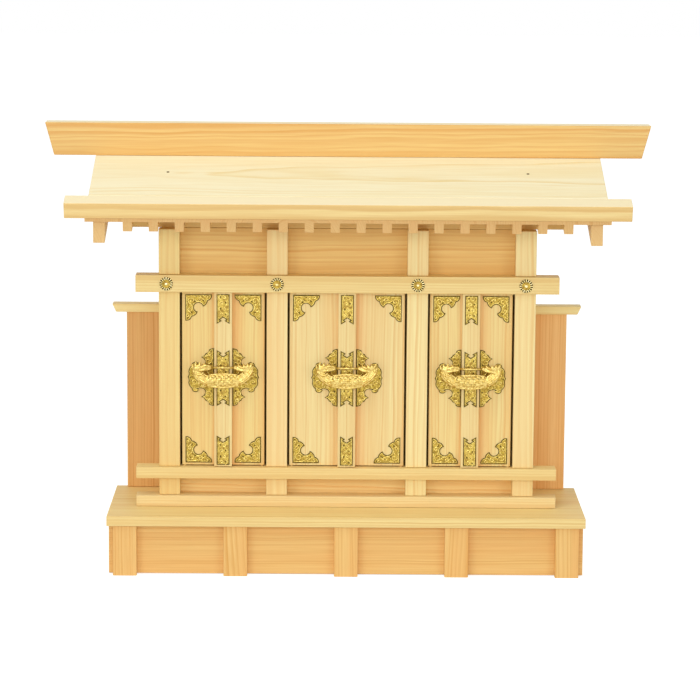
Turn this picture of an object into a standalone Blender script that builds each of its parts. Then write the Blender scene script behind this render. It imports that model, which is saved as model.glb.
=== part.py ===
"""A three-door house altar in plain cypress, with brass door fittings.

It stands on its base at z = 0 and faces -Y. Sizes are in metres. Distances
called "y" below are measured back from the front edge of the deck, and every
object is then shifted so that the whole stands centred on the origin.
"""

import math

import bmesh
import bpy
from mathutils import Vector

# Clearance left wherever two pieces meet, and chamfer on the boards' edges
SEAM = 0.0003
CHAMFER = 0.0004

# Base: front board with five battens, two side boards and a back board
BASE_SIDE_INSET = 0.0015
BASE_HEIGHT = 0.0512
BASE_BOARD = 0.008
BASE_FRONT_Y = 0.011
BASE_BACK_INSET = 0.003
FRONT_BOARD_LIFT = 0.001
BATTEN_COUNT = 5
BATTEN_WIDTH = 0.0238
BATTEN_THICKNESS = 0.0077
BATTEN_END_INSET = 0.0046

# Deck, and the ground sill that lies on it under the posts
DECK_SIDE_MARGIN = 0.027
DECK_DEPTH = 0.150
DECK_THICKNESS = 0.010
SILL_OVERHANG = 0.0231
SILL_HEIGHT = 0.0108
SILL_PROUD = 0.0055

# Posts and the bays between them
POST_WIDTH = 0.021
POST_DEPTH = 0.015
POST_HEIGHT = 0.2718
POST_Y = 0.0535
CENTRE_BAY = 0.1205
SIDE_BAY = 0.08765

# Rails, half-lapped across the posts' fronts
RAIL_OVERHANG = 0.0231
RAIL_PROUD = 0.0055
RAIL_LAP = 0.0075
LOWER_RAIL_RISE = 0.0181
LOWER_RAIL_HEIGHT = 0.0113
OPENING_HEIGHT = 0.1795
UPPER_RAIL_HEIGHT = 0.0171

# Walls
WALL = 0.008
WALL_REVEAL = 0.0024
PANEL_LAP = 0.002
BACK_WALL_INSET = 0.0005
WING_WIDTH = 0.0405
WING_HEIGHT = 0.1854
WING_THICKNESS = 0.0075
CAP_OVERHANG = 0.0107
CAP_SLANT = 0.004
CAP_DEPTH = 0.0165
CAP_HEIGHT = 0.0085

# Roof, with its two slopes meeting under the ridge beam
ROOF_PITCH = math.radians(17.3)
ROOF_THICKNESS = 0.016
ROOF_SIDE_INSET = 0.003
RIDGE_INSET = 0.027
EAVE_OVERHANG = 0.003
REAR_EAVE_OVERHANG = 0.015
STRIP_OVERHANG = 0.023
STRIP_LENGTH = 0.020
SOFFIT_OVERHANG = 0.0079
SOFFIT_THICKNESS = 0.0043
SOFFIT_SETBACK = 0.00225
RAFTER_COUNT = 18
RAFTER_WIDTH = 0.009
RAFTER_DEPTH = 0.0103
RAFTER_SETBACK = 0.0004
RAFTER_TAIL = 0.003
BEAM_OVERHANG = 0.0326
BEAM_DEPTH = 0.0122
BEAM_HEIGHT = 0.0214
BARGE_GAP = 0.018
BARGE_THICKNESS = 0.0116
BARGE_HEIGHT = 0.0228
BARGE_FRONT_SETBACK = 0.013
BARGE_REAR_INSET = 0.007
RIDGE_DEPTH = 0.022
RIDGE_RISE = 0.0303
RIDGE_OVERHANG = 0.0192
RIDGE_SLANT = 0.0091

# Doors: each bay has two leaves on pins, and a strip that covers their meeting
LEAF_THICKNESS = 0.005
LEAF_SETBACK = 0.010
LEAF_SIDE_GAP = 0.0021
LEAF_END_GAP = 0.001
LEAF_MEETING_GAP = 0.0006
PIN_EDGE = 0.0025
PIN_RADIUS = 0.0015
PIN_LENGTH = 0.004
PIN_PLAY = 0.0004
PIN_END_PLAY = 0.0008
PIN_SIDES = 16
COVER_WIDTH = 0.018
COVER_THICKNESS = 0.0057
COVER_END_GAP = 0.0005

# Brass plates on the doors
PLATE_THICKNESS = 0.0008
PLATE_SINK = 0.0004
CORNER_SIZE = 0.0268
CORNER_SIDE_INSET = 0.0034
CORNER_END_INSET = 0.0024
COVER_PLATE_WIDTH = 0.013
COVER_PLATE_LENGTH = 0.030
COVER_PLATE_NOTCH = 0.0065
COVER_PLATE_END_INSET = 0.0018
MEDALLION_Z = 0.1936
MEDALLION_REACH = 0.0362
MEDALLION_HEIGHT = 0.0592
MEDALLION_PLATE_LENGTH = 0.0572
ARC_STEPS = 4

# Fish-shaped padlock that hangs across each pair of leaves
LOCK_HALF_LENGTH = 0.028
LOCK_DROP = 0.0015
LOCK_THICKNESS = 0.009
LOCK_SAG = 0.013
LOCK_BELLY = 0.0007
LOCK_BODY_HEIGHT = 0.0136
LOCK_END_HEIGHT = 0.0068
LOCK_BAR_RADIUS = 0.0011
LOCK_BAR_RISE = 0.013
LOCK_BAR_LAP = 0.00168
LOCK_STATIONS = 18
LOCK_SIDES = 12
FIN_SIDES = 6

# Rosettes on the upper rail
ROSETTE_RADIUS = 0.00725
ROSETTE_THICKNESS = 0.0014
ROSETTE_DOME = 0.0024
ROSETTE_PETALS = 24
ROSETTE_OFF_POST = [-0.0027, 0.0, 0.0, 0.0]  # the first one is nailed off its post's middle

# Heights that follow from the sizes above
DECK_TOP = BASE_HEIGHT + SEAM + DECK_THICKNESS
SILL_TOP = DECK_TOP + SEAM + SILL_HEIGHT
POST_FOOT = SILL_TOP + SEAM
POST_TOP = POST_FOOT + POST_HEIGHT
LOWER_RAIL_Z = SILL_TOP + LOWER_RAIL_RISE
LOWER_RAIL_TOP = LOWER_RAIL_Z + LOWER_RAIL_HEIGHT
UPPER_RAIL_Z = LOWER_RAIL_TOP + OPENING_HEIGHT
UPPER_RAIL_TOP = UPPER_RAIL_Z + UPPER_RAIL_HEIGHT
BEAM_Z = POST_TOP

# Depths that follow, measured back from the deck's front edge
RAIL_Y = POST_Y - RAIL_PROUD
FRAME_BACK_Y = POST_Y + POST_DEPTH
LAP_Y = FRAME_BACK_Y - RAIL_LAP
PANEL_Y = FRAME_BACK_Y + SEAM
BACK_WALL_Y = DECK_DEPTH - BACK_WALL_INSET - WALL
BEAM_BACK_Y = PANEL_Y + BEAM_DEPTH
HINGE_Y = RAIL_Y + LEAF_SETBACK + LEAF_THICKNESS / 2
EAVE_Y = -EAVE_OVERHANG
RIDGE_Y = DECK_DEPTH - RIDGE_INSET
REAR_EAVE_Y = DECK_DEPTH + REAR_EAVE_OVERHANG
MIDDLE_Y = (EAVE_Y + REAR_EAVE_Y) / 2

# Places across the front
POST_X = [
    -(CENTRE_BAY / 2 + POST_WIDTH * 1.5 + SIDE_BAY),
    -(CENTRE_BAY / 2 + POST_WIDTH / 2),
    CENTRE_BAY / 2 + POST_WIDTH / 2,
    CENTRE_BAY / 2 + POST_WIDTH * 1.5 + SIDE_BAY,
]
BAYS = {
    "left": ((POST_X[0] + POST_X[1]) / 2, SIDE_BAY),
    "centre": (0.0, CENTRE_BAY),
    "right": ((POST_X[2] + POST_X[3]) / 2, SIDE_BAY),
}
HINGE_INSET = LEAF_SIDE_GAP + PIN_EDGE
FRAME_REACH = POST_X[3] + POST_WIDTH / 2
WALL_OUTER_X = FRAME_REACH - WALL_REVEAL
WALL_INNER_X = WALL_OUTER_X - WALL
RAIL_REACH = FRAME_REACH + RAIL_OVERHANG
SILL_REACH = FRAME_REACH + SILL_OVERHANG
DECK_REACH = SILL_REACH + DECK_SIDE_MARGIN
BASE_REACH = DECK_REACH - BASE_SIDE_INSET
BEAM_REACH = FRAME_REACH + BEAM_OVERHANG
BARGE_INNER_X = BEAM_REACH + BARGE_GAP
BARGE_OUTER_X = BARGE_INNER_X + BARGE_THICKNESS
SOFFIT_REACH = BARGE_OUTER_X + SOFFIT_OVERHANG
ROOF_REACH = SOFFIT_REACH - ROOF_SIDE_INSET
STRIP_REACH = ROOF_REACH + STRIP_OVERHANG
RIDGE_BOTTOM_REACH = STRIP_REACH + RIDGE_OVERHANG
RIDGE_TOP_REACH = RIDGE_BOTTOM_REACH + RIDGE_SLANT

# Depths below the roof's top surface, measured square to the slope
UNDER_ROOF = ROOF_THICKNESS + SEAM
UNDER_SOFFIT = UNDER_ROOF + SOFFIT_THICKNESS
UNDER_RAFTER = UNDER_SOFFIT + RAFTER_DEPTH
ROOF_Z_AT_BEAM = BEAM_Z + BEAM_HEIGHT + (UNDER_RAFTER + SEAM) / math.cos(ROOF_PITCH)


def roof_height(y, depth=0.0):
    """Height of the plane that lies `depth` below the roof's top surface."""
    run = min(y, 2 * RIDGE_Y - y) - PANEL_Y
    drop = depth / math.cos(ROOF_PITCH)
    return ROOF_Z_AT_BEAM + run * math.tan(ROOF_PITCH) - drop


def slope_point(along, depth):
    """(y, z) of a point up the front slope from the eave's top edge."""
    y = EAVE_Y + along * math.cos(ROOF_PITCH) + depth * math.sin(ROOF_PITCH)
    rise = along * math.sin(ROOF_PITCH) - depth * math.cos(ROOF_PITCH)
    return y, roof_height(EAVE_Y) + rise


# Scene and materials

def clear_scene():
    for obj in list(bpy.data.objects):
        bpy.data.objects.remove(obj, do_unlink=True)


def principled(name, colour, roughness, metallic=0.0):
    material = bpy.data.materials.new(name)
    material.use_nodes = True
    shader = material.node_tree.nodes["Principled BSDF"]
    shader.inputs["Base Color"].default_value = (*colour, 1.0)
    shader.inputs["Roughness"].default_value = roughness
    shader.inputs["Metallic"].default_value = metallic
    material.diffuse_color = (*colour, 1.0)
    return material


clear_scene()
PALE_CYPRESS = principled("cypress_pale", (0.93, 0.82, 0.55), 0.55)
FRAME_CYPRESS = principled("cypress_frame", (0.89, 0.67, 0.34), 0.55)
GOLDEN_CYPRESS = principled("cypress_golden", (0.86, 0.59, 0.26), 0.55)
HEART_CYPRESS = principled("cypress_heart", (0.74, 0.41, 0.15), 0.55)
BRASS = principled("brass", (0.70, 0.50, 0.12), 0.30, 1.0)


# Solids

def prism(outline, axis, start, end):
    """A closed body: a flat outline drawn out along one axis."""
    corners = {
        "X": lambda a, b, along: (along, a, b),
        "Y": lambda a, b, along: (a, along, b),
        "Z": lambda a, b, along: (a, b, along),
    }[axis]
    body = bmesh.new()
    near = [body.verts.new(corners(a, b, start)) for a, b in outline]
    far = [body.verts.new(corners(a, b, end)) for a, b in outline]
    body.faces.new(near)
    body.faces.new(far)
    for i in range(len(outline)):
        j = (i + 1) % len(outline)
        body.faces.new((near[i], near[j], far[j], far[i]))
    bmesh.ops.recalc_face_normals(body, faces=body.faces)
    return body


def box(x, y, z):
    """A closed box from three (low, high) pairs."""
    outline = [(x[0], z[0]), (x[1], z[0]), (x[1], z[1]), (x[0], z[1])]
    return prism(outline, "Y", y[0], y[1])


def add_object(name, body, material, place=(0.0, 0.0, 0.0), parent=None):
    """Adds one sub-part; a child's place is measured from its parent's origin."""
    mesh = bpy.data.meshes.new(name)
    body.to_mesh(mesh)
    body.free()
    mesh.materials.append(material)
    obj = bpy.data.objects.new(name, mesh)
    bpy.context.scene.collection.objects.link(obj)
    x, y, z = place
    if parent:
        obj.parent = parent
        obj.location = (x, y, z)
    else:
        obj.location = (x, y - MIDDLE_Y, z)
    return obj


def combine(obj, bodies, operation):
    """Adds bodies to an object or cuts them out of it."""
    for body in bodies:
        mesh = bpy.data.meshes.new("tool")
        body.to_mesh(mesh)
        body.free()
        tool = bpy.data.objects.new("tool", mesh)
        tool.hide_render = True
        tool.display_type = "WIRE"
        bpy.context.scene.collection.objects.link(tool)
        bpy.context.view_layer.update()
        tool.matrix_world = obj.matrix_world
        modifier = obj.modifiers.new(operation.lower(), "BOOLEAN")
        modifier.operation = operation
        modifier.solver = "EXACT"
        modifier.object = tool
        with bpy.context.temp_override(object=obj, active_object=obj):
            bpy.ops.object.modifier_apply(modifier=modifier.name)
        bpy.data.objects.remove(tool, do_unlink=True)
    return obj


def soften(obj):
    """Takes the sharpness off a board's edges."""
    bevel = obj.modifiers.new("soft edges", "BEVEL")
    bevel.width = CHAMFER
    bevel.segments = 1
    bevel.limit_method = "ANGLE"
    bevel.angle_limit = math.radians(40)
    bevel.use_clamp_overlap = True
    return obj


def add_board(name, x, y, z, material, place=(0.0, 0.0, 0.0)):
    return soften(add_object(name, box(x, y, z), material, place))


def arc(start, middle, end, steps=ARC_STEPS):
    """Points after `start` on the circle through three points, up to `end`."""
    (ax, ay), (bx, by), (cx, cy) = start, middle, end
    turn = 2 * (ax * (by - cy) + bx * (cy - ay) + cx * (ay - by))
    a2, b2, c2 = ax * ax + ay * ay, bx * bx + by * by, cx * cx + cy * cy
    ox = (a2 * (by - cy) + b2 * (cy - ay) + c2 * (ay - by)) / turn
    oy = (a2 * (cx - bx) + b2 * (ax - cx) + c2 * (bx - ax)) / turn
    radius = math.hypot(ax - ox, ay - oy)
    first = math.atan2(ay - oy, ax - ox)
    sweep = math.atan2(cy - oy, cx - ox) - first
    through = math.atan2(by - oy, bx - ox) - first
    if through % math.tau < sweep % math.tau:
        sweep = sweep % math.tau
    else:
        sweep = sweep % math.tau - math.tau
    points = []
    for i in range(1, steps + 1):
        angle = first + sweep * i / steps
        points.append((ox + radius * math.cos(angle), oy + radius * math.sin(angle)))
    return points


# Base and deck

def add_base():
    half = BASE_REACH
    back = DECK_DEPTH - BASE_BACK_INSET
    front = (BASE_FRONT_Y, BASE_FRONT_Y + BASE_BOARD)
    sides = (front[1] + SEAM, back)
    tall = (0.0, BASE_HEIGHT)
    add_board("base_front_board", (-half, half), front,
              (FRONT_BOARD_LIFT, BASE_HEIGHT), GOLDEN_CYPRESS)
    for name, side in (("base_side_left", -1), ("base_side_right", 1)):
        x = sorted((side * half, side * (half - BASE_BOARD)))
        add_board(name, x, sides, tall, GOLDEN_CYPRESS)
    inner = half - BASE_BOARD - SEAM
    add_board("base_back_board", (-inner, inner), (back - BASE_BOARD, back),
              tall, GOLDEN_CYPRESS)
    batten_back = BASE_FRONT_Y - SEAM
    last = BASE_REACH - BATTEN_END_INSET - BATTEN_WIDTH / 2
    for i in range(BATTEN_COUNT):
        centre = last * (2 * i / (BATTEN_COUNT - 1) - 1)
        add_board(f"base_batten_{i + 1}", (-BATTEN_WIDTH / 2, BATTEN_WIDTH / 2),
                  (batten_back - BATTEN_THICKNESS, batten_back), tall,
                  GOLDEN_CYPRESS, (centre, 0.0, 0.0))


def add_deck():
    add_board("deck", (-DECK_REACH, DECK_REACH), (0.0, DECK_DEPTH),
              (DECK_TOP - DECK_THICKNESS, DECK_TOP), FRAME_CYPRESS)
    add_board("ground_sill", (-SILL_REACH, SILL_REACH),
              (POST_Y - SILL_PROUD, FRAME_BACK_Y),
              (DECK_TOP + SEAM, SILL_TOP), FRAME_CYPRESS)


# Frame of posts and rails

def add_posts():
    """Each post is cut back at the front where the two rails cross it."""
    front, back = POST_Y, FRAME_BACK_Y
    lap = LAP_Y + SEAM
    outline = [(back, POST_FOOT), (back, POST_TOP), (front, POST_TOP)]
    rails = ((UPPER_RAIL_TOP, UPPER_RAIL_Z), (LOWER_RAIL_TOP, LOWER_RAIL_Z))
    for top, bottom in rails:
        outline += [(front, top + SEAM), (lap, top + SEAM)]
        outline += [(lap, bottom - SEAM), (front, bottom - SEAM)]
    outline.append((front, POST_FOOT))
    for i, x in enumerate(POST_X):
        body = prism(outline, "X", -POST_WIDTH / 2, POST_WIDTH / 2)
        soften(add_object(f"post_{i + 1}", body, FRAME_CYPRESS, (x, 0.0, 0.0)))


def pin_places():
    """Distance across the front of each of the six door pins."""
    for centre, width in BAYS.values():
        reach = width / 2 - HINGE_INSET
        yield centre - reach
        yield centre + reach


def circle(radius, sides, x=0.0, y=0.0):
    return [
        (x + radius * math.cos(math.tau * (i + 0.5) / sides),
         y + radius * math.sin(math.tau * (i + 0.5) / sides))
        for i in range(sides)
    ]


def add_rail(name, bottom, top, hole_from, hole_to):
    """A rail, notched at the back over the posts and bored for the door pins."""
    half, notch = RAIL_REACH, POST_WIDTH / 2 + SEAM
    outline = [(half, FRAME_BACK_Y), (half, RAIL_Y), (-half, RAIL_Y)]
    outline.append((-half, FRAME_BACK_Y))
    for x in POST_X:
        outline += [(x - notch, FRAME_BACK_Y), (x - notch, LAP_Y)]
        outline += [(x + notch, LAP_Y), (x + notch, FRAME_BACK_Y)]
    rail = add_object(name, prism(outline, "Z", bottom, top), FRAME_CYPRESS)
    bore = PIN_RADIUS + PIN_PLAY
    holes = [
        prism(circle(bore, PIN_SIDES, x, HINGE_Y), "Z", hole_from, hole_to)
        for x in pin_places()
    ]
    soften(combine(rail, holes, "DIFFERENCE"))


def add_rails():
    depth = PIN_LENGTH - LEAF_END_GAP + PIN_END_PLAY
    clear = 2 * LEAF_END_GAP
    add_rail("lower_rail", LOWER_RAIL_Z, LOWER_RAIL_TOP,
             LOWER_RAIL_TOP - depth, LOWER_RAIL_TOP + clear)
    add_rail("upper_rail", UPPER_RAIL_Z, UPPER_RAIL_TOP,
             UPPER_RAIL_Z - clear, UPPER_RAIL_Z + depth)


# Walls

def add_walls():
    """Boards behind the frame: two panels, two side walls and a back wall."""
    foot = DECK_TOP + SEAM
    inner = WALL_INNER_X - SEAM
    panel = (PANEL_Y, PANEL_Y + WALL)
    add_board("lower_panel", (-inner, inner), panel,
              (foot, LOWER_RAIL_TOP - PANEL_LAP), GOLDEN_CYPRESS)
    add_board("upper_panel", (-inner, inner), panel,
              (UPPER_RAIL_Z + PANEL_LAP, BEAM_Z - SEAM), GOLDEN_CYPRESS)

    back = BACK_WALL_Y + WALL
    under = UNDER_SOFFIT + SEAM
    outline = [(PANEL_Y, foot), (back, foot), (back, roof_height(back, under))]
    outline.append((RIDGE_Y, roof_height(RIDGE_Y, under)))
    behind_beam = BEAM_BACK_Y + SEAM
    outline.append((behind_beam, roof_height(behind_beam, under)))
    outline += [(behind_beam, BEAM_Z - SEAM), (PANEL_Y, BEAM_Z - SEAM)]
    for name, side in (("side_wall_left", -1), ("side_wall_right", 1)):
        body = prism(outline, "X", side * WALL_INNER_X, side * WALL_OUTER_X)
        soften(add_object(name, body, GOLDEN_CYPRESS))

    outline = [(BACK_WALL_Y, foot), (back, foot), (back, roof_height(back, under))]
    outline.append((BACK_WALL_Y, roof_height(BACK_WALL_Y, under)))
    soften(add_object("back_wall", prism(outline, "X", -inner, inner),
                      GOLDEN_CYPRESS))


def add_wings():
    """Short fences that stand out from the back of the side walls."""
    start = WALL_OUTER_X + SEAM
    back = BACK_WALL_Y + WALL
    foot = DECK_TOP + SEAM
    cap_z = foot + WING_HEIGHT + SEAM
    middle = back - WING_THICKNESS / 2
    for name, side in (("left", -1), ("right", 1)):
        x = sorted((side * start, side * (start + WING_WIDTH)))
        add_board(f"wing_{name}", x, (back - WING_THICKNESS, back),
                  (foot, foot + WING_HEIGHT), HEART_CYPRESS)
        reach = start + WING_WIDTH + CAP_OVERHANG
        outline = [(side * start, cap_z), (side * reach, cap_z)]
        outline += [(side * (reach + CAP_SLANT), cap_z + CAP_HEIGHT)]
        outline += [(side * start, cap_z + CAP_HEIGHT)]
        body = prism(outline, "Y", middle - CAP_DEPTH / 2, middle + CAP_DEPTH / 2)
        soften(add_object(f"wing_cap_{name}", body, FRAME_CYPRESS))


# Roof

def rafter_bars(spare):
    """The rafters as separate bars, `spare` larger on each side and below."""
    end_y = BEAM_BACK_Y + RAFTER_TAIL + spare
    sunk = UNDER_SOFFIT - SOFFIT_THICKNESS / 2
    front = SOFFIT_SETBACK + RAFTER_SETBACK
    low = UNDER_RAFTER + spare
    outline = [slope_point(front, sunk), slope_point(front, low)]
    outline += [(end_y, roof_height(end_y, low)), (end_y, roof_height(end_y, sunk))]
    half = RAFTER_WIDTH / 2 + spare
    last = BEAM_REACH - RAFTER_WIDTH / 2
    bars = []
    for i in range(RAFTER_COUNT):
        x = last * (2 * i / (RAFTER_COUNT - 1) - 1)
        bars.append(prism(outline, "X", x - half, x + half))
    return bars


def add_eave_beam():
    """The beam behind the posts' heads, notched for the rafters."""
    under = UNDER_SOFFIT + SEAM
    outline = [(PANEL_Y, BEAM_Z), (BEAM_BACK_Y, BEAM_Z)]
    outline.append((BEAM_BACK_Y, roof_height(BEAM_BACK_Y, under)))
    outline.append((PANEL_Y, roof_height(PANEL_Y, under)))
    body = prism(outline, "X", -BEAM_REACH, BEAM_REACH)
    beam = add_object("eave_beam", body, GOLDEN_CYPRESS)
    combine(beam, rafter_bars(SEAM), "DIFFERENCE")


def slope_board(start, top, bottom, end_y):
    """Side outline of a board on the front slope that stops plumb at `end_y`."""
    outline = [slope_point(start, top), slope_point(start, bottom)]
    outline.append((end_y, roof_height(end_y, bottom)))
    outline.append((end_y, roof_height(end_y, top)))
    return outline


def mirrored(outline, end_y):
    """The same board on the rear slope, cut off plumb at the rear eave."""
    top = outline[-1][1], outline[-2][1]
    drop = top[0] - top[1]
    fall = roof_height(end_y) - roof_height(RIDGE_Y)
    start_y = 2 * RIDGE_Y - outline[-1][0]
    return [(start_y, top[0]), (start_y, top[0] - drop),
            (end_y, top[0] - drop + fall), (end_y, top[0] + fall)]


def add_roof():
    ridge = RIDGE_Y - SEAM / 2
    strip = [slope_point(0.0, 0.0), slope_point(0.0, ROOF_THICKNESS),
             slope_point(STRIP_LENGTH, ROOF_THICKNESS), slope_point(STRIP_LENGTH, 0.0)]
    body = prism(strip, "X", -STRIP_REACH, STRIP_REACH)
    soften(add_object("eave_strip", body, FRAME_CYPRESS))

    front = slope_board(STRIP_LENGTH + SEAM, 0.0, ROOF_THICKNESS, ridge)
    body = prism(front, "X", -ROOF_REACH, ROOF_REACH)
    soften(add_object("roof_front", body, PALE_CYPRESS))
    body = prism(mirrored(front, REAR_EAVE_Y), "X", -ROOF_REACH, ROOF_REACH)
    soften(add_object("roof_rear", body, PALE_CYPRESS))

    under = slope_board(SOFFIT_SETBACK, UNDER_ROOF, UNDER_SOFFIT, ridge)
    body = prism(under, "X", -SOFFIT_REACH, SOFFIT_REACH)
    soffit = add_object("soffit_front", body, FRAME_CYPRESS)
    combine(soffit, rafter_bars(0.0), "UNION")
    under_rear = mirrored(under, REAR_EAVE_Y - BARGE_REAR_INSET / 2)
    body = prism(under_rear, "X", -SOFFIT_REACH, SOFFIT_REACH)
    soften(add_object("soffit_rear", body, FRAME_CYPRESS))


def add_bargeboards():
    top = UNDER_SOFFIT + SEAM
    end_y = REAR_EAVE_Y - BARGE_REAR_INSET
    stations = (EAVE_Y + BARGE_FRONT_SETBACK, RIDGE_Y, end_y)
    upper = [(y, roof_height(y, top)) for y in stations]
    lower = [(y, z - BARGE_HEIGHT) for y, z in reversed(upper)]
    for name, side in (("bargeboard_left", -1), ("bargeboard_right", 1)):
        body = prism(upper + lower, "X", side * BARGE_INNER_X,
                     side * BARGE_OUTER_X)
        soften(add_object(name, body, FRAME_CYPRESS))


def add_ridge():
    """The ridge beam has slanted ends and a hollow below that fits the roof."""
    front, back = RIDGE_Y - RIDGE_DEPTH / 2, RIDGE_Y + RIDGE_DEPTH / 2
    top = roof_height(RIDGE_Y) + RIDGE_RISE
    foot = roof_height(front)
    outline = [(-RIDGE_BOTTOM_REACH, foot), (RIDGE_BOTTOM_REACH, foot)]
    outline += [(RIDGE_TOP_REACH, top), (-RIDGE_TOP_REACH, top)]
    ridge = add_object("ridge_beam", prism(outline, "Y", front, back), GOLDEN_CYPRESS)
    low = foot - 2 * SEAM
    lift = SEAM / math.cos(ROOF_PITCH)
    hollow = [(front - SEAM, low), (back + SEAM, low)]
    hollow += [(back + SEAM, roof_height(back + SEAM) + lift)]
    hollow += [(RIDGE_Y, roof_height(RIDGE_Y) + lift)]
    hollow += [(front - SEAM, roof_height(front - SEAM) + lift)]
    reach = RIDGE_TOP_REACH + CHAMFER
    soften(combine(ridge, [prism(hollow, "X", -reach, reach)], "DIFFERENCE"))


# Door plates, as outlines in the door's own (x, z)

def corner_outline():
    """A corner plate in the first quadrant, its scalloped edge facing out."""
    unit = CORNER_SIZE
    arm = [(1.0, 0.0)]
    arm += arc(arm[-1], (0.975, 0.15), (0.845, 0.242))
    arm += arc(arm[-1], (0.79, 0.37), (0.66, 0.466))
    bite = arc(arm[-1], (0.37, 0.37), (0.466, 0.66), 3 * ARC_STEPS)
    other_arm = [(b, a) for a, b in reversed(arm)][1:]
    return [(a * unit, b * unit) for a, b in [(0.0, 0.0)] + arm + bite + other_arm]


def medallion_outline():
    """Half of the cloud-shaped plate, from the meeting strip outwards."""
    wide, tall = MEDALLION_REACH, MEDALLION_HEIGHT / 2
    inner = (COVER_WIDTH / 2 + SEAM) / wide
    lobe = [(1.0, 0.0)]
    lobe += arc(lobe[-1], (0.97, 0.22), (0.88, 0.40))
    lobe += arc(lobe[-1], (0.81, 0.52), (0.71, 0.49))
    lobe += arc(lobe[-1], (0.58, 0.39), (0.50, 0.54))
    lobe += arc(lobe[-1], (0.54, 0.63), (0.62, 0.69))
    lobe += arc(lobe[-1], (0.53, 0.79), (0.43, 0.88))
    lobe += arc(lobe[-1], (0.36, 0.97), (inner, 1.0))
    lower = [(a, -b) for a, b in reversed(lobe)][:-1]
    return [(a * wide, b * tall) for a, b in lower + lobe]


def notched_plate(low, high, notch_low, notch_high):
    """A plate on the meeting strip, with a spade-shaped cut between two legs at its free ends."""
    half = COVER_PLATE_WIDTH / 2
    cusp, shoulder = (0.22, 0.45), (0.49, 0.67)

    def end(height, notch, way):
        leg = [(1.0, 0.0)] + ([cusp, shoulder] if notch else [])
        near = [(way * half * a, height + notch * b) for a, b in leg]
        eye = [(0.0, height + notch)] if notch else []
        return near + eye + [(-a, b) for a, b in reversed(near)]

    return end(low, notch_low, -1) + end(high, -notch_high, 1)


# Doors

LEAF_HEIGHT = OPENING_HEIGHT - 2 * LEAF_END_GAP
LEAF_Z = LOWER_RAIL_TOP + LEAF_END_GAP


def leaf_plates(reach, inward):
    """The two corner plates and the half medallion of one leaf."""
    front = -LEAF_THICKNESS / 2
    depth = (front - PLATE_THICKNESS, front + PLATE_SINK)
    edge = PIN_EDGE - CORNER_SIDE_INSET
    high = LEAF_HEIGHT - CORNER_END_INSET
    corner = corner_outline()
    lower = [(inward * (a - edge), CORNER_END_INSET + b) for a, b in corner]
    upper = [(inward * (a - edge), high - b) for a, b in corner]
    middle = MEDALLION_Z - LEAF_Z
    medallion = [(inward * (reach - a), middle + b) for a, b in medallion_outline()]
    return [prism(outline, "Y", *depth) for outline in (lower, upper, medallion)]


def add_leaf(name, centre, width, inward):
    """A leaf whose origin is on its pins' axis; it reaches `inward` from there."""
    reach = width / 2 - HINGE_INSET
    x = sorted((-inward * PIN_EDGE, inward * (reach - LEAF_MEETING_GAP / 2)))
    half = LEAF_THICKNESS / 2
    body = box(x, (-half, half), (0.0, LEAF_HEIGHT))
    place = (centre - inward * reach, HINGE_Y, LEAF_Z)
    leaf = add_object(name, body, FRAME_CYPRESS, place)
    pins = prism(circle(PIN_RADIUS, PIN_SIDES), "Z", -PIN_LENGTH,
                 LEAF_HEIGHT + PIN_LENGTH)
    return combine(leaf, [pins] + leaf_plates(reach, inward), "UNION")


def add_cover_strip(name, leaf, reach):
    """The strip on the right leaf that covers the meeting of the two."""
    back = -LEAF_THICKNESS / 2 - SEAM
    front = back - COVER_THICKNESS
    low = COVER_END_GAP - LEAF_END_GAP
    high = LEAF_HEIGHT + LEAF_END_GAP - COVER_END_GAP
    x = (-reach - COVER_WIDTH / 2, -reach + COVER_WIDTH / 2)
    strip = add_object(name, box(x, (front, back), (low, high)), FRAME_CYPRESS,
                       parent=leaf)
    foot = low + COVER_PLATE_END_INSET
    head = high - COVER_PLATE_END_INSET
    middle = MEDALLION_Z - LEAF_Z
    half = MEDALLION_PLATE_LENGTH / 2
    notch = COVER_PLATE_NOTCH
    outlines = [
        notched_plate(foot, foot + COVER_PLATE_LENGTH, 0.0, notch),
        notched_plate(middle - half, middle + half, notch, notch),
        notched_plate(head - COVER_PLATE_LENGTH, head, notch, 0.0),
    ]
    plates = []
    for outline in outlines:
        shifted = [(a - reach, b) for a, b in outline]
        plates.append(prism(shifted, "Y", front - PLATE_THICKNESS, front + PLATE_SINK))
    return combine(strip, plates, "UNION")


# Padlock

def fish_body():
    """The fish's body, from snout to tail along a line that sags in the middle."""
    stations = []
    for i in range(LOCK_STATIONS):
        t = -1 + 2 * i / (LOCK_STATIONS - 1)
        slender = 1 - (1 - LOCK_END_HEIGHT / LOCK_BODY_HEIGHT) * abs(t) ** 5
        height = LOCK_SAG * abs(t) ** 3.4 - LOCK_BELLY
        tall = LOCK_BODY_HEIGHT / 2 * slender
        deep = LOCK_THICKNESS / 2 * slender
        stations.append((t * LOCK_HALF_LENGTH, height, tall, deep))
    return lofted(stations, LOCK_SIDES)


def lofted(stations, sides):
    """A body of ovals set square to the line that they lie on."""
    body = bmesh.new()
    rings = []
    last = len(stations) - 1
    for i, (x, z, tall, deep) in enumerate(stations):
        before, after = stations[max(i - 1, 0)], stations[min(i + 1, last)]
        along = Vector((after[0] - before[0], after[1] - before[1])).normalized()
        ring = []
        for k in range(sides):
            angle = math.tau * k / sides
            up, across = tall * math.cos(angle), deep * math.sin(angle)
            ring.append(body.verts.new((x - along.y * up, across, z + along.x * up)))
        rings.append(ring)
    return skinned(body, rings)


def skinned(body, rings):
    """Closes a row of rings of points into one body."""
    for near, far in zip(rings, rings[1:]):
        for k in range(len(near)):
            j = (k + 1) % len(near)
            body.faces.new((near[k], near[j], far[j], far[k]))
    body.faces.new(rings[0])
    body.faces.new(rings[-1])
    bmesh.ops.recalc_face_normals(body, faces=body.faces)
    return body


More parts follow.
